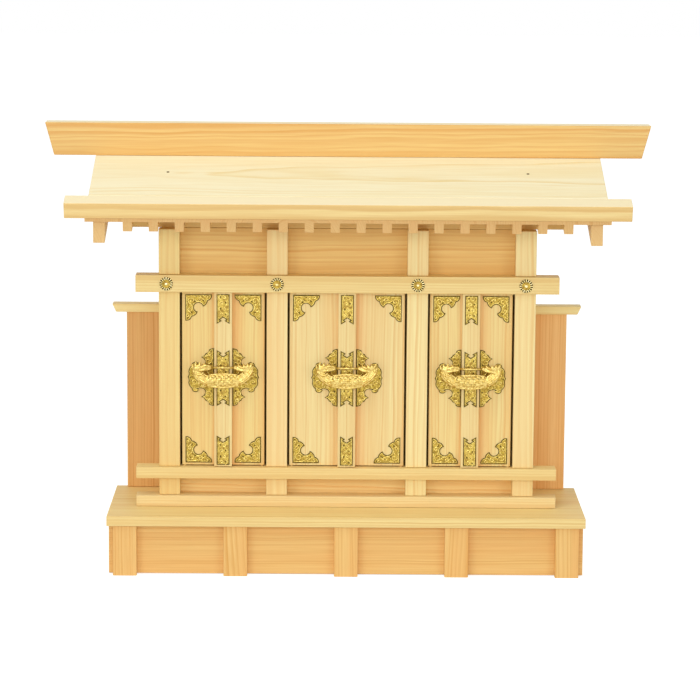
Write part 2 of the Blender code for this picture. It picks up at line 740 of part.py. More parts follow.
LOCK_TIP = (0.44, 0.47)  # where snout and tail take up the bar, as shares of the half length


def lock_limbs():
    """Snout, tail, crest and fins: points as shares of the half length, and thickness at both ends."""
    return [
        ([(-0.88, 0.44), (-0.64, 0.50), (-LOCK_TIP[0], LOCK_TIP[1])], 0.155, 0.085),
        ([(0.88, 0.43), (0.64, 0.49), LOCK_TIP], 0.150, 0.085),
        ([(-0.96, 0.39), (-1.07, 0.47), (-1.11, 0.60)], 0.080, 0.020),
        ([(-0.94, 0.48), (-0.99, 0.61), (-0.94, 0.69)], 0.080, 0.020),
        ([(-0.82, 0.52), (-0.84, 0.62), (-0.78, 0.66)], 0.065, 0.020),
        ([(-0.70, 0.52), (-0.70, 0.60), (-0.63, 0.62)], 0.055, 0.020),
        ([(0.88, 0.46), (0.66, 0.54), (0.55, 0.62)], 0.060, 0.025),
        ([(0.84, 0.46), (0.76, 0.56), (0.73, 0.63)], 0.060, 0.025),
        ([(0.92, 0.46), (0.89, 0.58), (0.91, 0.65)], 0.060, 0.020),
        ([(0.94, 0.44), (1.01, 0.57), (1.06, 0.67)], 0.065, 0.020),
        ([(0.96, 0.38), (1.05, 0.44), (1.08, 0.54)], 0.070, 0.020),
        ([(-0.62, -0.08), (-0.71, -0.20), (-0.66, -0.29)], 0.055, 0.020),
        ([(-0.77, 0.02), (-0.86, -0.09), (-0.84, -0.19)], 0.050, 0.020),
        ([(0.72, -0.02), (0.82, -0.11), (0.93, -0.08)], 0.050, 0.020),
    ]


def lock_limb(points, root, tip):
    """A horn of the casting that thins from root to tip."""
    stations = []
    for i, (a, b) in enumerate(points):
        thick = (root + (tip - root) * i / (len(points) - 1)) * LOCK_HALF_LENGTH
        stations.append((a * LOCK_HALF_LENGTH, b * LOCK_HALF_LENGTH, thick, thick))
    return lofted(stations, FIN_SIDES)


def add_lock(name, leaf, reach):
    """The fish holds a straight bar between its snout and its tail, as a padlock's bolt."""
    cover_front = LEAF_THICKNESS / 2 + SEAM + COVER_THICKNESS + PLATE_THICKNESS
    y = -cover_front - SEAM - LOCK_THICKNESS / 2
    z = MEDALLION_Z - LEAF_Z - LOCK_DROP
    lock = add_object(name, fish_body(), BRASS, (-reach, y, z), leaf)
    parts = [lock_limb(*limb) for limb in lock_limbs()]
    bar = circle(LOCK_BAR_RADIUS, LOCK_SIDES, 0.0, LOCK_BAR_RISE)
    bar_reach = LOCK_TIP[0] * LOCK_HALF_LENGTH + LOCK_BAR_LAP
    parts.append(prism(bar, "X", -bar_reach, bar_reach))
    return combine(lock, parts, "UNION")


def add_doors():
    for bay, (centre, width) in BAYS.items():
        reach = width / 2 - HINGE_INSET
        add_leaf(f"door_{bay}_left", centre, width, 1)
        leaf = add_leaf(f"door_{bay}_right", centre, width, -1)
        add_cover_strip(f"meeting_strip_{bay}", leaf, reach)
        add_lock(f"fish_lock_{bay}", leaf, reach)


# Rosettes

def rosette_ring(body, share, base, ruffle):
    """One ring of points; the petals make its radius and height wave."""
    sides = 2 * ROSETTE_PETALS
    ring = []
    for k in range(sides):
        angle = math.tau * k / sides
        petal = abs(math.sin(ROSETTE_PETALS * angle / 2))
        radius = share * ROSETTE_RADIUS * (1.0 - ruffle * (1.0 - petal))
        lift = base + ruffle * 4 * ROSETTE_THICKNESS * petal
        x, z = radius * math.cos(angle), radius * math.sin(angle)
        ring.append(body.verts.new((x, -lift, z)))
    return ring


def rosette_body():
    """A flower with rounded petals around a domed middle."""
    body = bmesh.new()
    petal_z, dome = ROSETTE_THICKNESS * 0.5, ROSETTE_DOME
    rings = [
        rosette_ring(body, 1.0, 0.0, 0.10),
        rosette_ring(body, 1.0, petal_z * 0.6, 0.10),
        rosette_ring(body, 0.90, petal_z, 0.10),
        rosette_ring(body, 0.50, petal_z, 0.04),
        rosette_ring(body, 0.38, dome * 0.75, 0.0),
        rosette_ring(body, 0.18, dome, 0.0),
    ]
    for vertex in rings[0]:
        vertex.co.y = 0.0
    return skinned(body, rings)


def add_rosettes():
    height = (UPPER_RAIL_Z + UPPER_RAIL_TOP) / 2
    for i, x in enumerate(POST_X):
        add_object(f"rosette_{i + 1}", rosette_body(), BRASS,
                   (x + ROSETTE_OFF_POST[i], RAIL_Y - SEAM, height))


add_base()
add_deck()
add_posts()
add_rails()
add_walls()
add_wings()
add_eave_beam()
add_roof()
add_bargeboards()
add_ridge()
add_doors()
add_rosettes()
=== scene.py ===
"""A three-door kamidana, the household shrine of planed hinoki with gilt brass fittings."""

import math

import bmesh
import bpy
from mathutils import Euler, Matrix, Vector
from mathutils.geometry import delaunay_2d_cdt


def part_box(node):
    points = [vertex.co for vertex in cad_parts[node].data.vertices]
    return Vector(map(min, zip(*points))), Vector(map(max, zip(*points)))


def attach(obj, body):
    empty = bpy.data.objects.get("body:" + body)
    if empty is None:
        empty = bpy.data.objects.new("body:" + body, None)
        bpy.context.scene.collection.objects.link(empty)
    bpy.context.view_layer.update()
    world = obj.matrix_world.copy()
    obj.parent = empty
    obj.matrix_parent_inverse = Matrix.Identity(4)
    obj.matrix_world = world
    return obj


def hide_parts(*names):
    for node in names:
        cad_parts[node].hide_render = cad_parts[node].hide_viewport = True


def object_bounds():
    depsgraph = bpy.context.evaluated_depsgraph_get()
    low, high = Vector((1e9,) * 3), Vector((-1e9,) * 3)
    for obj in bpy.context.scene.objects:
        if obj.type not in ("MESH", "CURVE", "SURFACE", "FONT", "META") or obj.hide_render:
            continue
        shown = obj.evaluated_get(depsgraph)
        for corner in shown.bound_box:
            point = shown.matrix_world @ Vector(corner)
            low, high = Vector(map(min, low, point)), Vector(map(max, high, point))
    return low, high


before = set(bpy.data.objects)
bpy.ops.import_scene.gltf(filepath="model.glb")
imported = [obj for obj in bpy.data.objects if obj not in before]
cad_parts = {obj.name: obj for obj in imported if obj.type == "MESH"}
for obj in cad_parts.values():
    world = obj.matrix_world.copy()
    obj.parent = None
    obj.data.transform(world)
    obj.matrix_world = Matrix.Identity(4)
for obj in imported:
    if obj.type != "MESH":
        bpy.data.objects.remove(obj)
cad_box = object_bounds()


# THE WHITE STUDIO
# The shrine stands on a white table in front of a white sweep. The light is broad and even, a
# little stronger from above, so that the roof is the palest part and the shadows stay soft.

def colour(code):
    """A colour written as sRGB hex, in the linear values that a socket takes."""
    shares = [int(code[i:i + 2], 16) / 255 for i in (1, 3, 5)]
    return [c / 12.92 if c <= 0.04045 else ((c + 0.055) / 1.055) ** 2.4 for c in shares] + [1.0]


def node(tree, kind, inputs=None, **settings):
    """Adds a node, with its settings, its input values and its links.

    A whole node as a value stands for its first output.
    """
    made = tree.nodes.new(kind)
    for setting, value in settings.items():
        setattr(made, setting, value)
    for key, value in (inputs or {}).items():
        if isinstance(value, bpy.types.Node):
            value = value.outputs[0]
        if isinstance(value, bpy.types.NodeSocket):
            tree.links.new(value, made.inputs[key])
        else:
            made.inputs[key].default_value = value
    return made


def put(name, data):
    """Stands a thing in the scene."""
    thing = bpy.data.objects.new(name, data)
    bpy.context.scene.collection.objects.link(thing)
    return thing


def maths(tree, operation, *values):
    """Reckons with plain numbers and gives the result."""
    return node(tree, "ShaderNodeMath", dict(enumerate(values)), operation=operation).outputs[0]


def seen_share(tree):
    """1 for what the lens sees, directly or mirrored, and 0 for what only sends light."""
    ray = node(tree, "ShaderNodeLightPath").outputs
    mirrored = maths(tree, "MAXIMUM", ray["Is Glossy Ray"], ray["Is Transmission Ray"])
    return maths(tree, "MAXIMUM", ray["Is Camera Ray"], mirrored)


def bare_finish(name):
    """A new material with nothing in its node tree yet."""
    material = bpy.data.materials.new(name)
    material.use_nodes = True
    material.node_tree.nodes.clear()
    return material, material.node_tree


LENS_LENGTH = 153.26
LENS_DISTANCE = 2.9954
CAMERA_SIDE = -0.0158
CAMERA_HEIGHT = 0.7164
CAMERA_PITCH = math.radians(9.44)
CAMERA_YAW = math.radians(0.362)
CAMERA_ROLL = math.radians(0.42)

ahead = Vector((math.sin(CAMERA_YAW), math.cos(CAMERA_YAW), 0.0))
side = Vector((math.cos(CAMERA_YAW), -math.sin(CAMERA_YAW), 0.0))
forward = ahead * math.cos(CAMERA_PITCH) - Vector((0, 0, 1)) * math.sin(CAMERA_PITCH)
up = ahead * math.sin(CAMERA_PITCH) + Vector((0, 0, 1)) * math.cos(CAMERA_PITCH)
camera_right = side * math.cos(CAMERA_ROLL) + up * math.sin(CAMERA_ROLL)
camera_up = up * math.cos(CAMERA_ROLL) - side * math.sin(CAMERA_ROLL)
lens = bpy.data.cameras.new("portrait_lens")
lens.lens = LENS_LENGTH
lens.sensor_width = 36.0
lens.clip_end = 60.0
camera = put("camera", lens)
camera.matrix_world = Matrix.Translation((CAMERA_SIDE, -LENS_DISTANCE, CAMERA_HEIGHT)) @ Matrix(
    (camera_right, camera_up, -forward)).transposed().to_4x4()
bpy.context.scene.camera = camera
bpy.context.scene.view_settings.view_transform = "Standard"

WHITE = colour("#FFFFFF")
world = bpy.data.worlds.new("white_sweep")
bpy.context.scene.world = world
world.use_nodes = True
tree = world.node_tree
tree.nodes.clear()
sky_light = node(tree, "ShaderNodeBackground", {"Color": WHITE, "Strength": 0.5})
sky_seen = node(tree, "ShaderNodeBackground", {"Color": WHITE, "Strength": 1.0})
sky = node(tree, "ShaderNodeMixShader", {0: seen_share(tree), 1: sky_light, 2: sky_seen})
node(tree, "ShaderNodeOutputWorld", {"Surface": sky})


def softbox(name, place, aim, width, power):
    """A square lamp behind white cloth, turned to what it lights."""
    light = bpy.data.lights.new(name, "AREA")
    light.shape = "SQUARE"
    light.size = width
    light.energy = power
    lamp = put(name, light)
    lamp.location = place
    lamp.rotation_euler = (Vector(aim) - Vector(place)).to_track_quat("-Z", "Y").to_euler()


softbox("softbox_above", (-0.35, -0.9, 2.1), (0.0, 0.0, 0.25), 1.3, 14.0)
softbox("softbox_left", (-1.5, -1.9, 0.8), (0.0, 0.0, 0.2), 0.9, 8.0)
softbox("softbox_right", (1.6, -1.9, 0.8), (0.0, 0.0, 0.2), 0.9, 7.0)
softbox("softbox_front", (-0.2, -3.1, 1.1), (0.0, 0.0, 0.2), 1.2, 18.0)

TABLE_REACH = 9.0
table_mesh = bpy.data.meshes.new("white_table")
table_mesh.from_pydata([(x, y, cad_box[0].z) for x, y in (
    (-TABLE_REACH, -TABLE_REACH), (TABLE_REACH, -TABLE_REACH),
    (TABLE_REACH, TABLE_REACH), (-TABLE_REACH, TABLE_REACH))], [], [(0, 1, 2, 3)])
table = put("white_table", table_mesh)
laminate, tree = bare_finish("matt_white_laminate")
matt = node(tree, "ShaderNodeBsdfDiffuse", {"Color": colour("#E4E4E4")})
lifted = node(tree, "ShaderNodeEmission", {"Color": WHITE, "Strength": 0.68})
bright = node(tree, "ShaderNodeAddShader", {0: matt, 1: lifted})
surface = node(tree, "ShaderNodeMixShader", {0: seen_share(tree), 1: matt, 2: bright})
node(tree, "ShaderNodeOutputMaterial", {"Surface": surface})
table_mesh.materials.append(laminate)


# THE BASE
# A box of four thin boards, with five flat battens glued across its front. The wood is hinoki
# from nearer the heart of the log, golden orange, planed and left bare.

GRAIN_TURN = {
    "X": Matrix.Identity(3),
    "Y": Matrix.Rotation(-math.pi / 2, 3, "Z"),
    "Z": Matrix.Rotation(math.pi / 2, 3, "Y"),
}
GRAIN_AXIS = {"X": (1.0, 0.0, 0.0), "Y": (0.0, 1.0, 0.0), "Z": (0.0, 0.0, 1.0)}


def vector_maths(tree, operation, *values):
    """Reckons with vectors and gives the result, which is a plain number for a length or a dot."""
    made = node(tree, "ShaderNodeVectorMath", dict(enumerate(values)), operation=operation)
    return made.outputs["Value" if operation in ("LENGTH", "DOT_PRODUCT") else "Vector"]


def noise(tree, place, scale, detail):
    """A cloudy pattern in space."""
    made = node(tree, "ShaderNodeTexNoise", {"Vector": place, "Scale": scale, "Detail": detail})
    return made.outputs["Fac"]


def spread(tree, value, low, high, at_low=0.0, at_high=1.0):
    """A value moved from one range to another, and held at its ends."""
    return node(tree, "ShaderNodeMapRange", {0: value, 1: low, 2: high, 3: at_low, 4: at_high}).outputs[0]


def blend(tree, share, first, second):
    """Two colours mixed by the second one's share."""
    return node(tree, "ShaderNodeMix", {0: share, 6: first, 7: second}, data_type="RGBA").outputs[2]


SAWN_END = colour("#C98F4E")
# The orange of the painted shade that a meeting strip casts on its leaves
STRIP_SHADE_ORANGE = colour("#EA9C54")


def planed_hinoki(name, middle, grain, wood, heart, ring, lean=(0.0, 0.0), waves=0.0012, top=None,
                  painted_strip_shade=None):
    """Hinoki cut from a log whose yearly rings run round its heart.

    The rings are drawn in the whole solid, so a board shows straight lines, arches or end grain
    by the way it was sawn. heart is how far the log's heart lies from the board's middle, across
    the grain, ring is the width of a year, lean is the angle between log and board, and waves is
    how far the rings wander. The strip shade is a painted orange shade where a board lies beside a
    meeting strip, given as x, reach and strength, and top is a paler colour painted on the upper
    faces as painted light from above. Planing leaves a silky gloss and fibres too fine to feel.
    """
    spring, autumn, warm = [colour(code) for code in wood]
    material, tree = bare_finish(name)
    turn = Euler((0.0, lean[0], lean[1])).to_matrix() @ GRAIN_TURN[grain]
    shift = -(turn @ Vector(middle)) - Vector((0.0, heart[0], heart[1]))
    place = node(tree, "ShaderNodeTexCoord").outputs
    log = node(tree, "ShaderNodeMapping", {"Vector": place["Object"], "Location": shift,
                                           "Rotation": turn.to_euler()}).outputs[0]
    radius = vector_maths(tree, "LENGTH", vector_maths(tree, "MULTIPLY", log, (0.0, 1.0, 1.0)))
    wander = noise(tree, vector_maths(tree, "MULTIPLY", log, (7.0, 38.0, 38.0)), 1.0, 2.0)
    years = maths(tree, "DIVIDE", maths(tree, "MULTIPLY_ADD", wander, waves * 4, radius), ring)
    uneven = node(tree, "ShaderNodeTexNoise", {"W": years, "Scale": 0.4, "Detail": 1.0},
                  noise_dimensions="1D").outputs["Fac"]
    age = maths(tree, "MULTIPLY_ADD", uneven, 2.5, years)
    line = node(tree, "ShaderNodeValToRGB", {0: maths(tree, "FRACT", age)})
    stops = line.color_ramp.elements
    stops[0].color = (0, 0, 0, 1)
    stops[1].color = (0, 0, 0, 1)
    for position, level in ((0.4, 0.12), (0.78, 0.85), (0.88, 1.0)):
        stop = stops.new(position)
        stop.color = (level, level, level, 1)
    luck = node(tree, "ShaderNodeTexWhiteNoise", {"W": maths(tree, "FLOOR", age)}, noise_dimensions="1D")
    weight = spread(tree, luck.outputs["Value"], 0.0, 1.0, 0.25, 1.0)
    dark = maths(tree, "MULTIPLY", line, weight)
    fibre = noise(tree, vector_maths(tree, "MULTIPLY", log, (16.0, 700.0, 700.0)), 1.0, 2.0)
    cloud = noise(tree, vector_maths(tree, "MULTIPLY", log, (2.2, 42.0, 42.0)), 1.0, 3.0)
    finish = blend(tree, dark, spring, autumn)
    finish = blend(tree, spread(tree, cloud, 0.42, 0.68, 0.0, 0.7), finish, warm)
    finish = blend(tree, spread(tree, fibre, 0.3, 0.7, 0.0, 0.34), finish, autumn)
    endwise = maths(tree, "ABSOLUTE", vector_maths(tree, "DOT_PRODUCT", place["Normal"], GRAIN_AXIS[grain]))
    finish = blend(tree, spread(tree, endwise, 0.75, 0.95, 0.0, 0.38), finish, SAWN_END)
    # Painted shade: an orange band beside the meeting strip, strongest at its line and gone at its reach.
    if painted_strip_shade:
        edge, reach, strength = painted_strip_shade
        spot = node(tree, "ShaderNodeSeparateXYZ", {0: place["Object"]})
        off = maths(tree, "ABSOLUTE", maths(tree, "SUBTRACT", spot.outputs["X"], edge))
        finish = blend(tree, spread(tree, off, 0.0, reach, strength, 0.0), finish, STRIP_SHADE_ORANGE)
    # Faces that look up are painted paler: painted light from above, not the wood's own colour.
    if top:
        sky_face = node(tree, "ShaderNodeSeparateXYZ", {0: place["Normal"]})
        painted_top_light = spread(tree, sky_face.outputs["Z"], 0.7, 0.95, 0.0, 0.85)
        finish = blend(tree, painted_top_light, finish, colour(top))
    relief = maths(tree, "MULTIPLY_ADD", fibre, 0.6, dark)
    bump = node(tree, "ShaderNodeBump", {"Strength": 0.25, "Distance": 0.0002, "Height": relief})
    gloss = spread(tree, fibre, 0.0, 1.0, 0.46, 0.66)
    surface = node(tree, "ShaderNodeBsdfPrincipled", {"Base Color": finish, "Roughness": gloss,
                                                      "Normal": bump, "IOR": 1.45})
    node(tree, "ShaderNodeOutputMaterial", {"Surface": surface})
    return material


def finish_board(name, grain, wood, heart, ring, **sawing):
    """Gives a board of the frame its own piece of the log."""
    low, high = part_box(name)
    material = planed_hinoki(f"planed_hinoki_{name}", (low + high) / 2, grain, wood, heart, ring, **sawing)
    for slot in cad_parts[name].material_slots:
        slot.material = material


# Golden hinoki: spring wood, autumn wood, warm streak
GOLDEN = ("#F1C87E", "#DCA250", "#EDB368")
finish_board("base_front_board", "X", GOLDEN, (0.030, -0.16), 0.0042, lean=(0.006, 0.0))
finish_board("base_back_board", "X", GOLDEN, (-0.02, 0.12), 0.004)
finish_board("base_side_left", "Y", GOLDEN, (0.02, -0.1), 0.0038)
finish_board("base_side_right", "Y", GOLDEN, (-0.02, -0.09), 0.0038)
BATTEN_LOGS = [((0.02, 0.05), 0.0034, (0.02, 0.03)), ((0.012, 0.03), 0.005, (0.10, 0.06)),
               ((0.03, -0.06), 0.0036, (0.01, 0.0)), ((0.015, 0.04), 0.0045, (-0.03, 0.02)),
               ((0.04, -0.05), 0.0032, (0.02, -0.01))]
for i, (heart, ring, lean) in enumerate(BATTEN_LOGS):
    finish_board(f"base_batten_{i + 1}", "Z", GOLDEN, heart, ring, lean=lean)


# THE DECK AND THE GROUND SILL
# One wide board closes the base and stands out all round; the sill lies on it and carries the
# four posts. Both are paler sapwood, so their lines are fainter than those of the base.

# Pale golden hinoki
CREAM_GOLD = ("#F5DF9A", "#DFB76C", "#EDCB84")
finish_board("deck", "X", CREAM_GOLD, (-0.10, -0.05), 0.0040, lean=(0.004, 0.01))
finish_board("ground_sill", "X", ("#F5E2A6", "#E1BA78", "#EECE90"), (0.04, -0.10), 0.0036)


# THE POSTS
# Four square posts stand on the sill and carry the eave beam. Each comes from another part of
# the log and shows close straight lines; the first is a little warmer than the others.

POST_WOOD = ("#F7E6A6", "#E9C27C", "#F3CF8E")
WARMER_POST = ("#F2DC94", "#E3B86C", "#EDC47C")
POST_LOGS = [((0.06, 0.035), 0.0036, (0.004, 0.003)), ((0.07, -0.05), 0.0032, (0.0, 0.004)),
             ((0.05, -0.055), 0.0034, (-0.004, 0.0)), ((0.06, 0.04), 0.0035, (0.003, -0.003))]
for i, (heart, ring, lean) in enumerate(POST_LOGS):
    finish_board(f"post_{i + 1}", "Z", WARMER_POST if i == 0 else POST_WOOD, heart, ring, lean=lean)


# THE RAILS
# The upper and the lower rail are halved into the posts and run past them at both ends. The
# doors turn between them on pins.

finish_board("upper_rail", "X", CREAM_GOLD, (0.05, 0.11), 0.0040)
finish_board("lower_rail", "X", CREAM_GOLD, (0.04, -0.10), 0.0036)


# THE PANELS AND THE WALLS
# Thin golden boards close the house over and under the doors, at its sides and at its back.
# They are set back behind the posts, so the corners beside the posts lie in soft shadow.

PANEL_WOOD = ("#F1CE80", "#DDA555", "#EFBE6C")
finish_board("upper_panel", "X", PANEL_WOOD, (0.015, 0.13), 0.0052, lean=(0.004, 0.0), waves=0.0018)
# The lower panel is painted paler than the other panels: painted light to lift the shade it stands in.
finish_board("lower_panel", "X", ("#FFE29A", "#ECB566", "#FFD084"), (0.02, -0.07), 0.0046,
             lean=(-0.02, 0.01), waves=0.0018)
finish_board("back_wall", "Z", PANEL_WOOD, (0.05, 0.12), 0.0060, lean=(0.01, 0.01))
finish_board("side_wall_left", "Z", PANEL_WOOD, (0.09, 0.03), 0.0050)
finish_board("side_wall_right", "Z", PANEL_WOOD, (-0.09, 0.03), 0.0050)


# THE WINGS
# A short screen stands at each side of the house, of darker heartwood with upright grain. Its
# cap is a pale lath with slanted ends.

HEARTWOOD = ("#E9BC76", "#CE8F46", "#E4A45E")
finish_board("wing_left", "Z", HEARTWOOD, (0.02, 0.07), 0.0034, waves=0.0008)
# The right wing is painted paler than the left: painted light to lift the shade on its side.
finish_board("wing_right", "Z", ("#FBCC86", "#E2A150", "#F4B66C"), (0.02, -0.07), 0.0034, waves=0.0008)
CAP_WOOD = ("#FFEEAA", "#F2CE82", "#FAD892")
finish_board("wing_cap_left", "X", CAP_WOOD, (0.05, 0.05), 0.0036)
finish_board("wing_cap_right", "X", CAP_WOOD, (0.05, -0.05), 0.0036)


# THE EAVES
# A golden beam lies behind the heads of the posts. Under the roof a thin soffit board carries a
# row of small square rafters, whose sawn ends look out between beam and eave.

finish_board("eave_beam", "X", PANEL_WOOD, (0.03, -0.08), 0.0040)
finish_board("soffit_front", "Y", ("#F3D492", "#DDAE68", "#EEC484"), (0.05, -0.04), 0.0026)
finish_board("soffit_rear", "X", PANEL_WOOD, (0.05, -0.06), 0.0040)


# THE ROOF
# Two wide boards meet under the ridge. They are the palest sapwood of all, nearly cream, with
# faint lines and a few arches. A strip along the front edge is golden on its face; its top is painted paler,
# as painted light from above.

ROOF_WOOD = ("#FBF3D0", "#EBD08C", "#F8EBBE")
finish_board("roof_front", "X", ROOF_WOOD, (0.03, -0.07), 0.0048, lean=(0.012, 0.0), waves=0.0022)
finish_board("roof_rear", "X", ROOF_WOOD, (-0.03, -0.07), 0.0048, lean=(-0.01, 0.0), waves=0.0022)
finish_board("eave_strip", "X", ("#F8DF9C", "#DCB068", "#F0CC84"), (0.06, 0.05), 0.0030, top="#FAEEC6")
BARGE_WOOD = ("#F3D798", "#E6C07C", "#EFCC8A")
finish_board("bargeboard_left", "Y", BARGE_WOOD, (0.05, -0.04), 0.0034)
finish_board("bargeboard_right", "Y", BARGE_WOOD, (0.05, -0.05), 0.0034)


# THE RIDGE
# A heavy golden beam with slanted ends lies along the top. Its face has the strongest grain of
# the shrine, long honey-coloured lines that wander a little.

# Its upper face is painted paler, as painted light from above.
finish_board("ridge_beam", "X", ("#E9C67C", "#D89A4C", "#DDA858"), (0.045, -0.12), 0.0050,
             lean=(0.010, 0.004), waves=0.0030, top="#FAEFC4")


# THE DOOR LEAVES
# Two thin leaves close each bay and turn on wooden pins. Each is one pale board with upright
# grain. Its outer corners and the middle of its meeting edge carry stamped brass plates.

FRONT_Y = -0.023
LEAF_THICKNESS = 0.005
LEAF_BOTTOM = 0.1030
LEAF_TOP = 0.2805
LEAF_EDGE = 0.0006
MEETING_GAP = 0.0006
POST_GAP = 0.0021
PIN_INSET = 0.0025
PIN_RADIUS = 0.0015
PIN_REACH = 0.004
PIN_ROOT = 0.001
BAYS = {"left": (-0.125075, 0.08765), "centre": (0.0, 0.1205), "right": (0.125075, 0.08765)}
# Painted orange shade on a leaf beside the strip, the strip's shadow warmed by light bounced off the wood:
# from the bay's middle, then how far it reaches and how strongly
STRIP_SHADE_X = 0.0085
STRIP_SHADES = {"left": (0.0055, 0.35), "right": (0.0130, 0.45)}
LEAF_WOOD = {"left": ("#F2DC92", "#DFAD62", "#EBBC70"), "centre": ("#F4E3A3", "#E1B36C", "#ECC27C"),
             "right": ("#F2DE98", "#DFAE64", "#EABD72")}
LEAF_LOGS = {
    ("left", "left"): ((0.03, 0.08), 0.0042, (0.006, 0.0)),
    ("left", "right"): ((0.03, -0.07), 0.0038, (-0.004, 0.0)),
    ("centre", "left"): ((0.025, 0.09), 0.0046, (0.008, 0.0)),
    ("centre", "right"): ((0.03, -0.08), 0.0044, (-0.012, 0.0)),
    ("right", "left"): ((0.02, 0.07), 0.0040, (0.010, 0.0)),
    ("right", "right"): ((0.03, 0.08), 0.0042, (-0.004, 0.0)),
}


def add_piece(name, mesh, materials, body):
    """A finished mesh as a piece of the shrine, moving with one of its bodies."""
    bmesh.ops.remove_doubles(mesh, verts=mesh.verts, dist=1e-7)
    bmesh.ops.recalc_face_normals(mesh, faces=mesh.faces)
    data = bpy.data.meshes.new(name)
    mesh.to_mesh(data)
    mesh.free()
    for material in materials:
        data.materials.append(material)
    piece = put(name, data)
    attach(piece, body)
    return piece


def bevelled_board(low, high, edge):
    """A board with its edges eased by the plane."""
    mesh = bmesh.new()
    bmesh.ops.create_cube(mesh, size=1.0)
    for vertex in mesh.verts:
        for axis in range(3):
            vertex.co[axis] = high[axis] if vertex.co[axis] > 0 else low[axis]
    bmesh.ops.bevel(mesh, geom=mesh.edges[:], offset=edge, segments=2, affect="EDGES", profile=0.6)
    return mesh


def add_pin(mesh, x, y, low, high):
    """A round pin, closed at both ends."""
    turned = Matrix.Translation((x, y, (low + high) / 2))
    bmesh.ops.create_cone(mesh, cap_ends=True, segments=20, radius1=PIN_RADIUS, radius2=PIN_RADIUS,
                          depth=high - low, matrix=turned)


leaf_span = {}
for bay, (middle, width) in BAYS.items():
    for hand, sign in (("left", -1), ("right", 1)):
        outer = middle + sign * (width / 2 - POST_GAP)
        inner = middle + sign * MEETING_GAP / 2
        leaf_span[bay, hand] = (min(outer, inner), max(outer, inner))
        low_x, high_x = leaf_span[bay, hand]
        mesh = bevelled_board((low_x, FRONT_Y, LEAF_BOTTOM),
                              (high_x, FRONT_Y + LEAF_THICKNESS, LEAF_TOP), LEAF_EDGE)
        pin_x = outer - sign * PIN_INSET
        pin_y = FRONT_Y + LEAF_THICKNESS / 2
        add_pin(mesh, pin_x, pin_y, LEAF_BOTTOM - PIN_REACH, LEAF_BOTTOM + PIN_ROOT)
        add_pin(mesh, pin_x, pin_y, LEAF_TOP - PIN_ROOT, LEAF_TOP + PIN_REACH)
        heart, ring, lean = LEAF_LOGS[bay, hand]
        board = planed_hinoki(f"planed_hinoki_door_{bay}_{hand}",
                              ((low_x + high_x) / 2, FRONT_Y, (LEAF_BOTTOM + LEAF_TOP) / 2),
                              "Z", LEAF_WOOD[bay], heart, ring, lean=lean, waves=0.0016,
                              painted_strip_shade=(middle + sign * STRIP_SHADE_X, *STRIP_SHADES[hand]))
        leaf = add_piece(f"door_board_{bay}_{hand}", mesh, [board], f"leaf_{bay}_{hand}")
        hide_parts(f"door_{bay}_{hand}")


# THE BRASS PLATES
# Each plate is stamped from thin brass sheet and gilded: a raised rim runs round its scalloped
# edge, and cloud scrolls stand up from a ground that has gone dark. They are nailed on flat.

CORNER_SIZE = 0.0268
CORNER_SIDE_INSET = 0.0034
CORNER_END_INSET = 0.0024
MEDALLION_Z = 0.1936
MEDALLION_REACH = 0.0362
MEDALLION_HEIGHT = 0.0592
STRIP_WIDTH = 0.018
MEDALLION_GAP = 0.0003
ARC_STEPS = 5


def gilt_brass(name, shine, shade, patina_and_shade, rough):
    """Gilded brass: a warm mirror blurred by the die, thinner in places, and dark in its corners from patina
    and from painted shade.
    """
    material, tree = bare_finish(name)
    place = node(tree, "ShaderNodeTexCoord").outputs["Object"]
    wear = spread(tree, noise(tree, place, 420.0, 3.0), 0.38, 0.66)
    gold = blend(tree, wear, colour(shine), colour(shade))
    # Ambient occlusion darkens hollows and creases: partly the patina of old gilding, partly painted shade
    # for the dark that a white studio does not reflect.
    corner = node(tree, "ShaderNodeAmbientOcclusion", {"Distance": 0.0014}, samples=8)
    tint = blend(tree, spread(tree, corner.outputs["AO"], 0.25, 0.8), colour(patina_and_shade), gold)
    dents = noise(tree, place, 1300.0, 1.0)
    blur = spread(tree, dents, 0.0, 1.0, rough - 0.06, rough + 0.08)
    bump = node(tree, "ShaderNodeBump", {"Strength": 0.5, "Distance": 0.00025, "Height": dents})
    surface = node(tree, "ShaderNodeBsdfPrincipled", {"Base Color": tint, "Metallic": 1.0,
                                                      "Roughness": blur, "Normal": bump})
    node(tree, "ShaderNodeOutputMaterial", {"Surface": surface})
    return material


gilding = gilt_brass("gilt_brass_stamped", "#EFD982", "#D2B45A", "#6A5820", 0.25)
ground_gilding = gilt_brass("gilt_brass_ground", "#BCA044", "#806428", "#3E320E", 0.36)
# The strip plates take a paler ground, a painted highlight for the light they catch.
bright_ground = gilt_brass("gilt_brass_bright_ground", "#C8AE52", "#8E7032", "#463810", 0.35)
darkened_brass_and_hole_shade = gilt_brass("gilt_brass_darkened_and_hole_shade", "#6E5C26", "#4A3E16", "#2A220C", 0.45)


def arc(start, middle, end, steps=ARC_STEPS):
    """Points on the circle through three points, without the first."""
    (ax, ay), (bx, by), (cx, cy) = start, middle, end
    turn = 2 * (ax * (by - cy) + bx * (cy - ay) + cx * (ay - by))
    a2, b2, c2 = ax * ax + ay * ay, bx * bx + by * by, cx * cx + cy * cy
    ox = (a2 * (by - cy) + b2 * (cy - ay) + c2 * (ay - by)) / turn
    oy = (a2 * (cx - bx) + b2 * (ax - cx) + c2 * (bx - ax)) / turn
    radius = math.hypot(ax - ox, ay - oy)
    first = math.atan2(ay - oy, ax - ox)
    through = (math.atan2(by - oy, bx - ox) - first) % math.tau
    sweep = (math.atan2(cy - oy, cx - ox) - first) % math.tau
    if through > sweep:
        sweep -= math.tau
    angles = [first + sweep * k / steps for k in range(1, steps + 1)]
    return [(ox + radius * math.cos(a), oy + radius * math.sin(a)) for a in angles]


